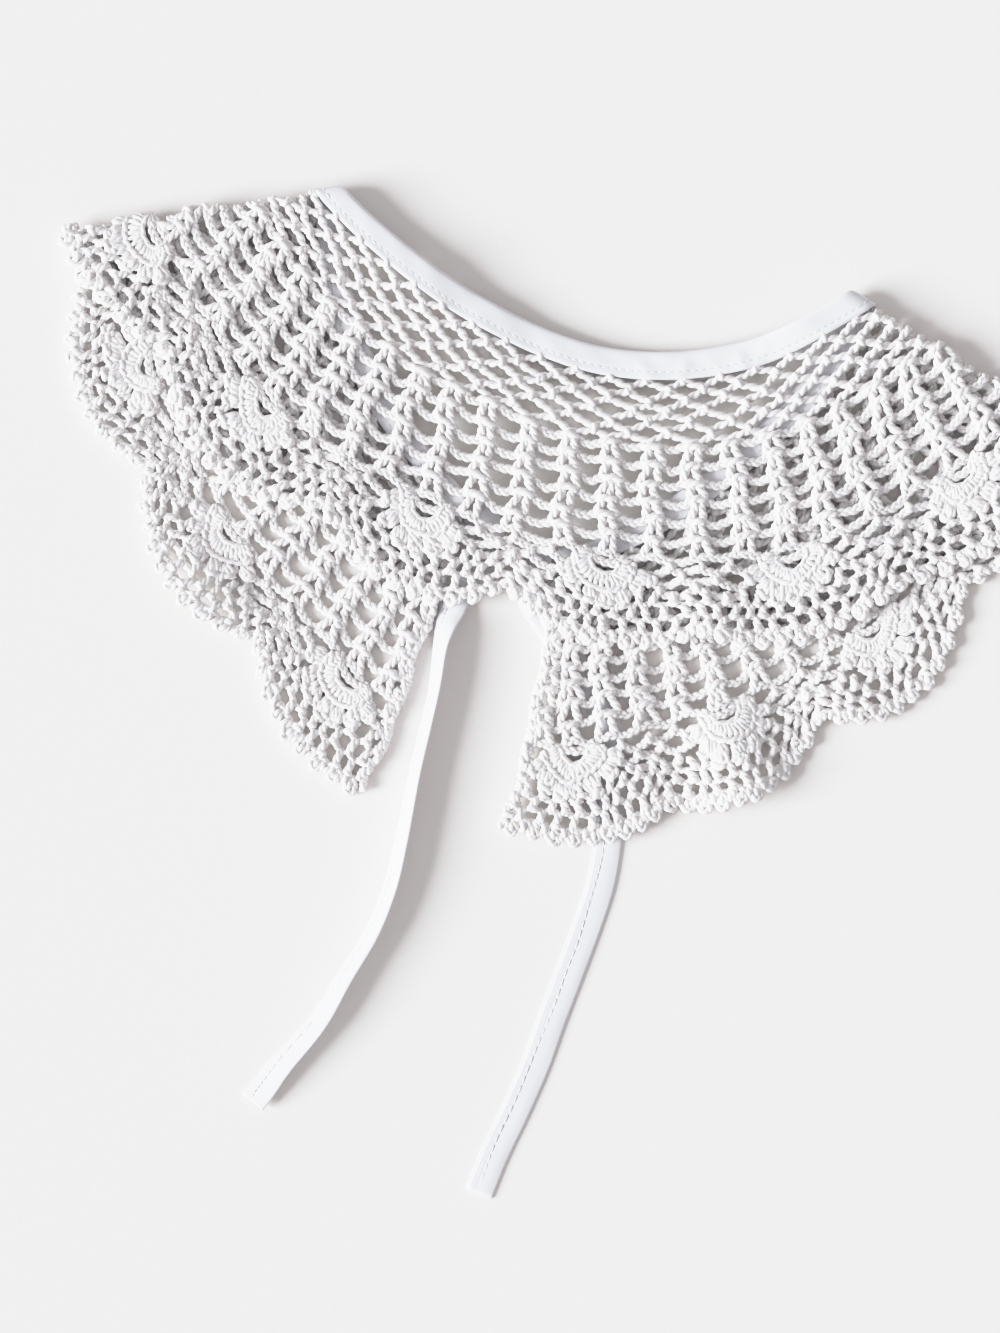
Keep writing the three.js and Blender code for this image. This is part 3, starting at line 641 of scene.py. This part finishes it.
def fasten(piece: bpy.types.Object, finish: ClothFinish, slot: str, *nodes: str) -> bpy.types.Object:
    """Gives a piece its finish and its body, and hides the solids that it stands for.

    Args:
        piece: the piece.
        finish: what it is made of.
        slot: not used.
        *nodes: the solids that it stands for.

    Returns:
        The same piece.
    """
    piece.data.materials.append(finish.material())
    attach(piece, "root")
    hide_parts(*nodes)
    LOG.info("%s: %d triangles", piece.name, len(piece.data.polygons))
    return piece


@dataclass
class LacePanel:
    """The crochet of one panel: net, open rows, fans, mesh rows, picots and worked front edge."""

    panel: Panel
    seed: int
    cut: tuple[float, float]
    cut_area: float
    rests_on: list[str]
    net_top: float = 10.6
    net_pitch: float = 3.9
    net_rows: int = 6
    net_sag: float = 2.1
    open_sag: float = 1.3
    fan_heart: float = 73.4
    slit: float = 5.6
    fan_ribs: int = 19
    rib_end: float = 10.2
    rib_spread: float = 88.0
    puffs: int = 7
    puff_spread: float = 66.0
    puff_length: float = 6.2
    between_rows: tuple[tuple[float, float, int], ...] = ((76.4, 9.5, 4), (80.6, 14.5, 3), (84.8, 19.0, 2))
    between_sag: float = 1.8
    mesh_rows: tuple[float, ...] = (88.9, 93.5, 98.1)
    mesh_step: float = 4.6
    mesh_pitch: float = 0.345
    picot_pitch: float = 0.39
    picot_depth: float = 101.0
    picot_tip: float = 103.4
    edge_start: float = 12.0
    edge_end: float = 101.0
    edge_pitch: float = 4.4

    def __post_init__(self) -> None:
        """Takes the row height and the ends from the panel."""
        self.open_pitch = (FAN_BASE - NET_END) / OPEN_ROWS
        self.low = self.panel.start
        self.high = self.panel.end

    def across(self, u: float, s: float) -> float:
        """How many columns one millimetre is at a place."""
        return 1 / float(self.panel.column_width(np.array([u]), np.array([s]))[0])

    def columns(self, shift: float = 0.0, step: float = 1.0) -> np.ndarray:
        """Column positions of a row's stitches, from one end of the panel to the other."""
        low = math.ceil((self.low - shift) / step + 1e-6)
        high = math.floor((self.high - shift) / step - 1e-6)
        return np.arange(low, high + 1) * step + shift

    def build_net(self) -> Cordage:
        """The close net under the tape: staggered rows of chain loops, each caught in the loop above."""
        work = Cordage(self.panel, self.seed)
        for row in range(self.net_rows):
            s = self.net_top + self.net_pitch * row
            nodes = self.columns(0.5 * (row % 2))
            nodes = np.concatenate([[nodes[0] - 1], nodes, [nodes[-1] + 1]])
            path = []
            for u in nodes:
                sag = self.net_sag + work.draw.uniform(-0.35, 0.35)
                half_way = s + 0.45 * sag
                path += [(u, s, 0.35), (u + 0.2, half_way, 0.1)]
                path += [(u + 0.5, s + sag, -0.3), (u + 0.8, half_way, 0.1)]
            work.lay(NET_CHAIN, self.clipped(path))
            for u in nodes[1:-1]:
                lean = work.draw.uniform(-0.05, 0.05)
                work.lay(KNOT, [(u - lean, s - 1.9, 0.3), (u, s - 0.3, 0.95), (u + lean, s + 1.1, 0.6)])
        return work

    def clipped(self, path: list[tuple[float, float, float]]) -> list[tuple[float, float, float]]:
        """The part of a path between the panel's ends, brought right up to both."""
        kept = [p for p in path if self.low < p[0] < self.high]
        if path[0][0] < self.low:
            kept = [(self.low, *kept[0][1:])] + kept
        if path[-1][0] > self.high:
            kept.append((self.high, *kept[-1][1:]))
        return kept

    def build_open_rows(self) -> tuple[Cordage, Cordage]:
        """Six open rows: a chain along the foot of each, and pairs of posts that spread towards it."""
        chains = Cordage(self.panel, self.seed + 1)
        posts = Cordage(self.panel, self.seed + 2)
        for row in range(OPEN_ROWS + 1):
            s = NET_END + self.open_pitch * row
            path = [(self.low - 0.5, s, 0.0)]
            for u in self.columns():
                a = 2.1 * self.across(u, s)
                sag = self.open_sag + chains.draw.uniform(-0.3, 0.4)
                path += [(u - a, s, 0.3), (u, s - 0.35, 0.6), (u + a, s, 0.3), (u + 0.5, s + sag, -0.25)]
            chains.lay(CHAIN, self.clipped(path + [(self.high + 0.5, s, 0.0)]))
        for row in range(OPEN_ROWS):
            top = NET_END + self.open_pitch * row
            foot = top + self.open_pitch
            for u in self.columns():
                x = self.across(u, top)
                u += posts.draw.uniform(-0.035, 0.035)
                wide = posts.draw.uniform(2.6, 3.3)
                legs = (-1, 1) if posts.draw.random() > 0.1 else (-1.15, 0, 1.15)
                for leg in legs:
                    posts.lay(
                        POST,
                        [
                            (u + leg * 1.35 * x, top - 0.4, 0.2),
                            (u + leg * 1.45 * x, top + 1.9, 0.9),
                            (u + leg * 0.8 * wide * x, top + 4.3, 0.6),
                            (u + leg * wide * x, foot - 0.2, 0.2),
                        ],
                    )
                a = 3.2 * x
                posts.lay(KNOT, [(u - a, top + 0.4, 0.7), (u, top - 0.3, 1.45), (u + a, top + 0.4, 0.7)])
        return chains, posts

    def build_fans(self) -> Cordage:
        """The fans: a slit under a chain, close ribs round it, a ridge, and a ring of loose puffs."""
        work = Cordage(self.panel, self.seed + 3)
        for centre in self.columns(step=FAN_SPACING):
            x = self.across(centre, self.fan_heart + 5)

            def at(angle: float, reach: float, w: float, aside: float = 0.0) -> tuple[float, float, float]:
                """A place at an angle and a distance from the fan's heart, shifted aside."""
                over = math.sin(angle) * reach + math.cos(angle) * aside
                down = math.cos(angle) * reach - math.sin(angle) * aside
                return (centre + over * x, self.fan_heart + down, w)

            spread = math.radians(self.rib_spread)
            for i in range(self.fan_ribs):
                angle = spread * (2 * i / (self.fan_ribs - 1) - 1)
                inner = self.slit + work.draw.uniform(-0.3, 0.2)
                reach = self.rib_end + work.draw.uniform(-0.3, 0.2)
                middle = (inner + reach) / 2
                work.lay(FAN_RIB, [at(angle, inner, 0.5), at(angle, middle, 1.1), at(angle, reach, 0.7)])
            arc = np.linspace(-spread, spread, 11)
            work.lay(FAN_RIB, [at(a, self.slit, 0.9) for a in arc])
            work.lay(MESH_CHAIN, [at(a, self.rib_end + 0.5, 0.95) for a in arc])
            over_slit = [(-9.0, -1.0), (-4.5, 1.2), (0.0, 2.0), (4.5, 1.2), (9.0, -1.0)]
            work.lay(CHAIN, [(centre + over * x, self.fan_heart + down, 0.5) for over, down in over_slit])
            puff_spread = math.radians(self.puff_spread)
            for i in range(self.puffs):
                angle = puff_spread * (2 * i / (self.puffs - 1) - 1) + work.draw.uniform(-0.06, 0.06)
                start = self.rib_end + 1.2
                stop = self.rib_end + self.puff_length + work.draw.uniform(-0.8, 0.4)
                for aside in (-1.9, -0.6, 0.6, 1.9):
                    high = 1.25 - 0.12 * aside * aside
                    lean = work.draw.uniform(-0.9, 0.9)
                    work.lay(
                        PUFF,
                        [
                            at(angle, start, 0.5, 0.6 * aside - lean),
                            at(angle, (start + stop) / 2, high, aside),
                            at(angle, stop, 0.35, 0.8 * aside + lean),
                        ],
                    )
                tied = [at(angle, stop, 0.6, -2.2), at(angle, stop + 0.7, 1.2), at(angle, stop, 0.6, 2.2)]
                work.lay(KNOT, tied)
        return work

    def build_between_fans(self) -> Cordage:
        """Between the fans, rows of long sagging loops that hold one fan to the next, fewer in each row."""
        work = Cordage(self.panel, self.seed + 4)
        first = math.floor(self.low / FAN_SPACING) - 1
        last = math.ceil(self.high / FAN_SPACING) + 1
        for left in np.arange(first, last) * FAN_SPACING:
            for s, inset_mm, loops in self.between_rows:
                inset = inset_mm * self.across(min(max(left + FAN_SPACING / 2, self.low), self.high), s)
                nodes = np.linspace(left + inset, left + FAN_SPACING - inset, loops + 1)
                if nodes[-1] < self.low or nodes[0] > self.high:
                    continue
                path = []
                for u0, u1 in zip(nodes[:-1], nodes[1:]):
                    sag = self.between_sag + work.draw.uniform(-0.3, 0.3)
                    wide = u1 - u0
                    half_way = s + 0.6 * sag
                    path += [(u0, s, 0.4), (u0 + 0.25 * wide, half_way, 0.05)]
                    path += [(u0 + 0.5 * wide, s + sag, -0.25), (u0 + 0.75 * wide, half_way, 0.05)]
                path.append((nodes[-1], s, 0.4))
                kept = [p for p in path if self.low < p[0] < self.high]
                if len(kept) > 3:
                    work.lay(CHAIN, kept)
                for u in nodes:
                    if self.low < u < self.high:
                        work.lay(KNOT, [(u, s - 2.3, 0.3), (u, s - 0.5, 1.0), (u, s + 1.0, 0.6)])
        return work

    def build_mesh_rows(self) -> tuple[Cordage, Cordage]:
        """Rows of small square mesh below the fans: a chain along each and a thick post at every hole."""
        chains = Cordage(self.panel, self.seed + 5)
        posts = Cordage(self.panel, self.seed + 6)
        for row, s in enumerate(self.mesh_rows):
            shift = 0.5 * self.mesh_pitch * (row % 2)
            path = [(self.low - 0.3, s, 0.0)]
            for u in self.columns(shift, self.mesh_pitch):
                path += [(u, s - 0.3, 0.55), (u + self.mesh_pitch / 2, s + 0.5, -0.15)]
            chains.lay(MESH_CHAIN, self.clipped(path + [(self.high + 0.3, s, 0.0)]))
            top = self.mesh_rows[row - 1] if row else s - self.mesh_step
            for u in self.columns(shift, self.mesh_pitch):
                lean = posts.draw.uniform(-0.05, 0.05)
                middle = (top + s) / 2
                posts.lay(POST, [(u - lean, top + 0.2, 0.3), (u, middle, 0.95), (u + lean, s + 0.2, 0.5)])
                if posts.draw.random() < 0.6:
                    a = 1.3 * self.across(u, s)
                    posts.lay(KNOT, [(u - a, s - 0.1, 0.7), (u, s - 0.7, 1.35), (u + a, s - 0.1, 0.7)])
        return chains, posts

    def build_hem(self) -> Cordage:
        """The picots along the hem, each a small knotted ring, with a short stitch between them."""
        work = Cordage(self.panel, self.seed + 7)
        base = self.mesh_rows[-1]
        for u in self.columns(0.0, self.picot_pitch):
            x = self.across(u, self.picot_depth)
            tip = self.picot_tip + work.draw.uniform(-0.7, 0.1)
            wide = 1.75 + work.draw.uniform(-0.2, 0.25)
            out = [(-0.7, base), (-wide, base + 2.2), (-wide * 0.9, tip - 1.2), (0, tip)]
            back = [(wide * 0.9, tip - 1.2), (wide, base + 2.2), (0.7, base)]
            ring = [(u + a * x, s, 0.4 + 0.3 * math.sin(2 * i)) for i, (a, s) in enumerate(out + back)]
            work.lay(MESH_CHAIN, ring)
            filler = [(u - 0.9 * x, base + 1.4, 0.3), (u, base + 2.7, 0.9), (u + 0.5 * x, base + 3.9, 0.3)]
            work.lay(KNOT, filler)
            v = u + 0.5 * self.picot_pitch
            end = self.picot_tip - 2.0 + work.draw.uniform(-0.5, 0.5)
            short = [(v - x, base - 0.3, 0.3), (v - 0.6 * x, base + 1.6, 0.8), (v + 0.4 * x, end, 0.3)]
            work.lay(KNOT, short)
        return work

    def build_front_edge(self, work: Cordage) -> None:
        """The worked edge down a front: a chain along it with a bump at every stitch."""
        for edge, inward in ((self.low, 1), (self.high, -1)):
            if not self.panel.within(np.array([[edge, 40.0, 0.0]]))[0]:
                continue
            path = []
            for i, s in enumerate(np.arange(self.edge_start, self.edge_end, 2.0)):
                path.append((edge + inward * (1.6 + 0.35 * (-1) ** i) * self.across(edge, s), s, 0.1))
            work.lay(CHAIN, path)
            for s in np.arange(self.edge_start + 1.0, self.edge_end, self.edge_pitch):
                x = inward * self.across(edge, s)
                stitch = [(4.2, s - 0.8, 0.3), (2.2, s, 1.0), (1.0, s + 1.4, 0.2)]
                bump = [(0.9, s + 1.2, 0.4), (1.2, s + 2.4, 0.9), (1.0, s + 3.6, 0.3)]
                work.lay(CHAIN, [(edge + a * x, depth, w) for a, depth, w in stitch])
                work.lay(KNOT, [(edge + a * x, depth, w) for a, depth, w in bump])

    def build(self) -> None:
        node = self.panel.name + "_lace"
        net = self.build_net()
        chains, posts = self.build_open_rows()
        fans, between = self.build_fans(), self.build_between_fans()
        mesh_chains, mesh_posts = self.build_mesh_rows()
        hem = self.build_hem()
        self.build_front_edge(hem)
        chains.paths += mesh_chains.paths + between.paths
        gathered = {
            "rows": chains,
            "posts": posts,
            "net": net,
            "fans": fans,
            "mesh_posts": mesh_posts,
            "hem": hem,
        }
        pieces = [
            fasten(work.mesh(f"{self.panel.name}_{word}"), COTTON_YARN, "crochet_cotton", node)
            for word, work in gathered.items()
        ]


def strip_mesh(name: str, above: np.ndarray, below: np.ndarray) -> bpy.types.Object:
    """A closed shell between two grids of points.

    Args:
        name: the piece's name.
        above: stations by places across, each a point in millimetres.
        below: the same places on the cloth's other side.

    Returns:
        The object, with no material yet.
    """
    n, k = above.shape[:2]
    points = np.concatenate([above.reshape(-1, 3), below.reshape(-1, 3)])
    points[:, 2] = np.maximum(points[:, 2], LOWEST_TAPE)
    top = np.arange(n * k).reshape(n, k)
    bottom = top + n * k

    def quads(a: np.ndarray, b: np.ndarray, c: np.ndarray, d: np.ndarray) -> np.ndarray:
        """Two triangles for each four corners."""
        a, b, c, d = (x.ravel() for x in (a, b, c, d))
        return np.concatenate([np.stack([a, b, c], -1), np.stack([a, c, d], -1)])

    faces = [
        quads(top[:-1, :-1], top[1:, :-1], top[1:, 1:], top[:-1, 1:]),
        quads(bottom[:-1, :-1], bottom[:-1, 1:], bottom[1:, 1:], bottom[1:, :-1]),
        quads(top[:-1, 0], bottom[:-1, 0], bottom[1:, 0], top[1:, 0]),
        quads(top[:-1, -1], top[1:, -1], bottom[1:, -1], bottom[:-1, -1]),
        quads(top[0, :-1], top[0, 1:], bottom[0, 1:], bottom[0, :-1]),
        quads(top[-1, :-1], bottom[-1, :-1], bottom[-1, 1:], top[-1, 1:]),
    ]
    return object_from(name, points, np.concatenate(faces))


def offset_sides(line: np.ndarray, thickness: float) -> tuple[np.ndarray, np.ndarray]:
    """The two sides of a folded strip's section, each half the cloth's thickness from its middle line."""
    ahead = np.gradient(line, axis=0)
    normal = unit(np.column_stack([-ahead[:, 1], ahead[:, 0]]))
    return line + normal * thickness / 2, line - normal * thickness / 2


@dataclass
class NeckBinding:
    """Bias tape folded over one panel's neck edge, with its turned-in edges and its line of stitching."""

    panel: Panel
    cloth: float = 0.34
    top: float = 1.72
    stitch_depth: float = 7.3
    stitch_height: float = 1.83
    stitch_length: float = 2.1
    stitch_gap: float = 0.7
    stitch_seed: int = 77
    step: float = 1.6

    def section(self) -> np.ndarray:
        """The tape's middle line across the binding, depth and height, between its two turned-in edges."""
        return np.array(
            [
                (1.6, 1.2), (5.0, 1.2), (8.8, 1.2), (9.5, 1.22), (9.78, 1.45), (9.5, 1.68), (8.8, 1.72),
                (8.0, 1.72), (7.6, 1.67), (7.3, 1.6), (7.0, 1.67), (6.6, 1.72), (5.0, 1.72), (3.0, 1.72),
                (1.6, 1.7), (0.8, 1.5), (0.3, 1.0), (0.17, 0.4), (0.17, -0.4), (0.3, -1.0), (0.8, -1.5),
                (1.6, -1.7), (5.0, -1.72), (8.8, -1.72), (9.5, -1.68), (9.78, -1.45), (9.5, -1.22),
                (8.8, -1.2), (5.0, -1.2), (1.6, -1.2),
            ]
        )

    def ends(self, s: np.ndarray) -> tuple[np.ndarray, np.ndarray]:
        """The columns at which the binding starts and ends, at each depth."""
        low, high = np.full_like(s, self.panel.start), np.full_like(s, self.panel.end)
        for fold in self.panel.folds:
            edge = self.panel.edge_column(fold, s)
            if edge.mean() < (self.panel.start + self.panel.end) / 2:
                low = edge
            else:
                high = edge
        return low, high

    def creases(self, u: np.ndarray, s: np.ndarray, w: np.ndarray) -> np.ndarray:
        """How far the cloth puckers: long soft waves, and slanted creases where the neck bends most."""
        top = ease(w, 1.3, 1.7)
        waves = 0.1 * np.sin(2.3 * u + 0.2 * s) + 0.07 * np.sin(5.1 * u - 0.5 * s + 2)
        for column, slant, high in NECK_CREASES:
            off = (u - column - slant * (s - TAPE_WIDTH / 2)) / CREASE_HALF_WIDTH
            waves = waves + high * np.exp(-(off**2)) * ease(s, 1.5, 5)
        return waves * top

    def length(self) -> float:
        """Length of the bound edge, in millimetres."""
        low, high = self.ends(np.zeros(1))
        u = np.linspace(low[0], high[0], 400)
        places = self.panel.place(np.column_stack([u, np.full_like(u, 0.0), np.zeros_like(u)]))
        return float(np.linalg.norm(np.diff(places, axis=0), axis=1).sum())

    def build(self) -> None:
        """Makes the binding and its stitching."""
        node = self.panel.name + "_neck_tape"
        length = self.length()
        count = int(length / self.step)
        share = np.linspace(0, 1, count)[:, None]
        line = self.section()
        sides = []
        low, high = self.ends(line[:, 0])
        for side in offset_sides(line, self.cloth):
            s = np.broadcast_to(np.maximum(side[:, 0], 0.0), (count, len(line)))
            w = np.broadcast_to(side[:, 1], s.shape)
            u = low + (high - low) * share
            lift = self.creases(u.ravel(), s.ravel(), w.ravel())
            places = self.panel.place(np.column_stack([u.ravel(), s.ravel(), w.ravel() + lift]))
            sides.append(places.reshape(count, len(line), 3))
        tape = fasten(strip_mesh(node.replace("tape", "binding"), *sides), BIAS_COTTON, "bias_tape", node)
        thread = Cordage(self.panel, self.stitch_seed)
        depth = np.array([self.stitch_depth])
        low, high = (float(x[0]) for x in self.ends(depth))
        u = low + 0.05
        while u < high - 0.2:
            x = 1 / float(self.panel.column_width(np.array([u]), depth)[0])
            stop = u + self.stitch_length * x
            pucker = self.creases(np.array([u, stop]), np.repeat(depth, 2), np.full(2, self.top))
            lift = pucker + self.stitch_height
            middle = (u + stop) / 2
            start = (u, depth[0], lift[0] - 0.05)
            crest = (middle, depth[0] - 0.15, lift.mean() + 0.1)
            thread.lay(THREAD, [start, crest, (stop, depth[0], lift[1] - 0.05)])
            u = stop + self.stitch_gap * x
        stitches = fasten(thread.mesh(node.replace("tape", "stitches")), SEWING_THREAD, "bias_tape", node)


@dataclass
class Tie:
    """A free length of the tape, folded in four and stitched on its open side, as it lies on the table."""

    name: str
    route: list[tuple[float, float, float]]
    stitch_across: float
    stations: int = 200
    cloth: float = 0.25
    soft_half_width: float = 4.4
    stitch_length: float = 2.1
    stitch_gap: float = 0.7
    stitch_height: float = 0.57
    thread_radius: float = 0.17

    def section(self) -> np.ndarray:
        """The tape's middle line across the tie, from one turned-in edge round its fold to the other."""
        return np.array(
            [
                (4.1, 0.15), (0.0, 0.15), (-3.3, 0.15), (-3.85, 0.2), (-4.0, 0.3), (-3.85, 0.42),
                (-3.4, 0.48), (-3.0, 0.42), (-2.6, 0.48), (-1.9, 0.44), (-1.4, 0.37), (-0.9, 0.44),
                (-0.2, 0.48), (1.5, 0.5), (4.3, 0.45), (4.75, 0.25), (4.86, 0.0), (4.75, -0.25),
                (4.3, -0.45), (1.5, -0.46), (-1.5, -0.46), (-4.2, -0.46), (-4.75, -0.4), (-4.88, -0.3),
                (-4.75, -0.2), (-4.2, -0.15), (0.0, -0.15), (4.1, -0.15),
            ]
        )

    def line(self) -> tuple[np.ndarray, np.ndarray]:
        """The route as a smooth centripetal curve.

        Returns:
            Places along it (x, y, lean) and the unit direction at each.
        """
        p = np.array(self.route, float)
        p = np.vstack([2 * p[0] - p[1], p, 2 * p[-1] - p[-2]])
        spots = np.linspace(0, len(self.route) - 1, self.stations)
        k = np.minimum(spots.astype(int), len(self.route) - 2)
        t = (spots - k)[:, None]
        a, b, c, d = p[k], p[k + 1], p[k + 2], p[k + 3]
        span = [np.linalg.norm(y - x, axis=1, keepdims=True) ** 0.5 for x, y in ((a, b), (b, c), (c, d))]
        span = [np.maximum(s, 1e-4) for s in span]
        leave = ((b - a) / span[0] - (c - a) / (span[0] + span[1]) + (c - b) / span[1]) * span[1]
        reach = ((c - b) / span[1] - (d - b) / (span[1] + span[2]) + (d - c) / span[2]) * span[1]
        c2 = -3 * b + 3 * c - 2 * leave - reach
        c3 = 2 * b - 2 * c + leave + reach
        at = b + leave * t + c2 * t**2 + c3 * t**3
        ahead = leave + 2 * c2 * t + 3 * c3 * t**2
        return at, unit(ahead[:, :2])

    def surface(self, across: np.ndarray, through: np.ndarray) -> np.ndarray:
        """Points of the tie at given places across and through it.

        Args:
            across: stations by places, in millimetres from the middle.
            through: the same, up from the middle.

        Returns:
            Stations by places by three, in the part's own frame.
        """
        at, ahead = self.line()
        lean = np.radians(at[:, 2])
        side = np.column_stack([-ahead[:, 1], ahead[:, 0], np.zeros(len(at))])
        up = np.array([0.0, 0.0, 1.0])
        wide = side * np.cos(lean)[:, None] + up * np.sin(lean)[:, None]
        deep = -side * np.sin(lean)[:, None] + up * np.cos(lean)[:, None]
        rise = (TAPE_WIDTH * np.abs(np.sin(lean)) + TIE_THICKNESS * np.cos(lean)) / 2
        middle = np.column_stack([at[:, :2] - MIDDLE, rise])[:, None, :]
        return middle + across[..., None] * wide[:, None, :] + through[..., None] * deep[:, None, :]

    def length(self) -> float:
        """Length of the tie along its middle, in millimetres."""
        at, _ = self.line()
        return float(np.linalg.norm(np.diff(at[:, :2], axis=0), axis=1).sum())

    def build(self) -> None:
        """Makes the tie and its stitching."""
        line = self.section()
        sides = []
        walk = np.linspace(0, self.length(), self.stations)[:, None]
        for side in offset_sides(line, self.cloth):
            across = np.broadcast_to(side[:, 0], (self.stations, len(line)))
            waves = 0.05 * np.sin(walk / 7.3 + 0.4 * across) + 0.04 * np.sin(walk / 3.1 + 1.3)
            soft = np.abs(across) < self.soft_half_width
            through = np.broadcast_to(side[:, 1], across.shape) + waves * soft
            sides.append(self.surface(across, through))
        tape = fasten(strip_mesh(self.name + "_tape", *sides), BIAS_COTTON, "bias_tape", self.name)
        stitches = self.build_stitches()
        self.length()

    def build_stitches(self) -> bpy.types.Object:
        """The line of machine stitches that closes the tie, a little wavy."""
        walk = np.linspace(0, self.length(), self.stations)
        wander = self.stitch_across + 0.4 * np.sin(walk / 9.0) + 0.2 * np.sin(walk / 3.7)
        path = self.surface(wander[:, None], np.full((self.stations, 1), self.stitch_height))[:, 0]
        points, faces = [], []
        starts = np.arange(2.0, walk[-1] - 4.0, self.stitch_length + self.stitch_gap)
        for number, start in enumerate(starts):
            spots = start + np.array([0, 0.5, 1.0]) * self.stitch_length
            middle = np.column_stack([np.interp(spots, walk, path[:, i]) for i in range(3)])
            middle[1, 2] += 0.08
            ahead = unit(middle[2] - middle[0])
            side = unit(np.cross(ahead, [0, 0, 1.0]))
            up = np.cross(side, ahead)
            angles = np.radians([45, 135, 225, 315])
            ring = self.thread_radius * (np.cos(angles)[:, None] * side + np.sin(angles)[:, None] * up)
            points.append((middle[:, None, :] + ring).reshape(-1, 3))
            base = number * 12  # each stitch is three rings of four corners
            for i in range(2):
                for j in range(4):
                    a, b = base + i * 4 + j, base + i * 4 + (j + 1) % 4
                    faces += [(a, a + 4, b), (b, a + 4, b + 4)]
            faces += [(base, base + 1, base + 2), (base, base + 2, base + 3)]
            faces += [(base + 8, base + 10, base + 9), (base + 8, base + 11, base + 10)]
        made = object_from(self.name + "_stitches", np.concatenate(points), np.array(faces))
        return fasten(made, SEWING_THREAD, "bias_tape", self.name)


@dataclass
class Studio:
    """The camera at the photograph's angle, the plain floor and the light: millimetres and degrees."""

    view_middle: tuple[float, float] = (-26.06, 9.27)
    view_height: float = 466.6
    distance: float = 1100.0
    sensor: float = 36.0
    floor_half: float = 4000.0
    sun_height: float = 26.0
    sun_heading: float = 14.0
    sun_softness: float = 30.0
    sun_strength: float = 3.97
    sun_colour: tuple[float, float, float] = (0.883, 0.948, 1.0)
    sky_colour: str = "#fafaff"
    sky_strength: float = 0.49
    brightest: float = 1.6
    tones: tuple[tuple[float, float], ...] = (
        (0.2, 0.21), (0.4, 0.435), (0.6, 0.695), (0.8, 0.835), (0.9, 0.887), (1.15, 0.938), (1.6, 0.975),
    )

    def build(self) -> None:
        """Makes the camera, the floor and the lights."""
        scene = bpy.context.scene
        x, y = (value * MM for value in self.view_middle)
        camera = bpy.data.cameras.new("camera")
        camera.sensor_width = self.sensor
        camera.lens = self.sensor * self.distance / self.view_height
        eye = bpy.data.objects.new("camera", camera)
        eye.location = (x, y, self.distance * MM)
        scene.collection.objects.link(eye)
        scene.camera = eye
        half = self.floor_half
        corners = np.array([(-half, -half, 0), (half, -half, 0), (half, half, 0), (-half, half, 0)])
        floor = object_from("floor", corners, np.array([(0, 1, 2), (0, 2, 3)]))
        floor.data.materials.append(PAINTED_BOARD.material())
        sun = bpy.data.lights.new("window_light", "SUN")
        sun.energy = self.sun_strength
        sun.angle = math.radians(self.sun_softness)
        sun.color = self.sun_colour
        lamp = bpy.data.objects.new("window_light", sun)
        up, heading = math.radians(self.sun_height), math.radians(self.sun_heading)
        travel = Vector((math.cos(up) * math.cos(heading), math.cos(up) * math.sin(heading), -math.sin(up)))
        lamp.rotation_mode = "QUATERNION"
        lamp.rotation_quaternion = travel.to_track_quat("-Z", "Y")
        scene.collection.objects.link(lamp)
        world = bpy.data.worlds.new("studio")
        world.use_nodes = True
        sky = world.node_tree.nodes["Background"]
        sky.inputs["Color"].default_value = linear(self.sky_colour)
        sky.inputs["Strength"].default_value = self.sky_strength
        scene.world = world
        self.develop(scene.view_settings)

    def develop(self, view: bpy.types.ColorManagedViewSettings) -> None:
        """Sets the picture's tones as a high-key photograph has them: greys lifted, whites rolled off."""
        view.view_transform = "Standard"
        view.use_curve_mapping = True
        mapping = view.curve_mapping
        mapping.white_level = (self.brightest,) * 3
        curve = mapping.curves[3]
        curve.points[0].location = (0.0, 0.0)
        curve.points[-1].location = (1.0, self.tones[-1][1])
        for light, shown in self.tones[:-1]:
            curve.points.new(light / self.brightest, shown)
        mapping.update()


def main() -> None:
    """Builds the studio and the collar, piece by piece."""
    Studio().build()
    # The cut of each panel is in metres and square metres, as it lies flat.
    left = LacePanel(LEFT_FRONT, seed=11, cut=(0.249, 0.105), cut_area=0.01764, rests_on=["floor"])
    right = LacePanel(RIGHT_FRONT, seed=23, cut=(0.284, 0.105), cut_area=0.02048, rests_on=["floor"])
    fronts = ["left_front_rows", "right_front_rows"]
    back = LacePanel(BACK, seed=5, cut=(0.467, 0.105), cut_area=0.03219, rests_on=fronts)
    for lace in (left, right, back):
        lace.build()
    for panel in (LEFT_FRONT, RIGHT_FRONT, BACK):
        NeckBinding(panel).build()
    Tie("left_tie", LEFT_TIE_ROUTE, stitch_across=-1.2).build()
    Tie("right_tie", RIGHT_TIE_ROUTE, stitch_across=-1.4).build()


if __name__ == "__main__":
    main()
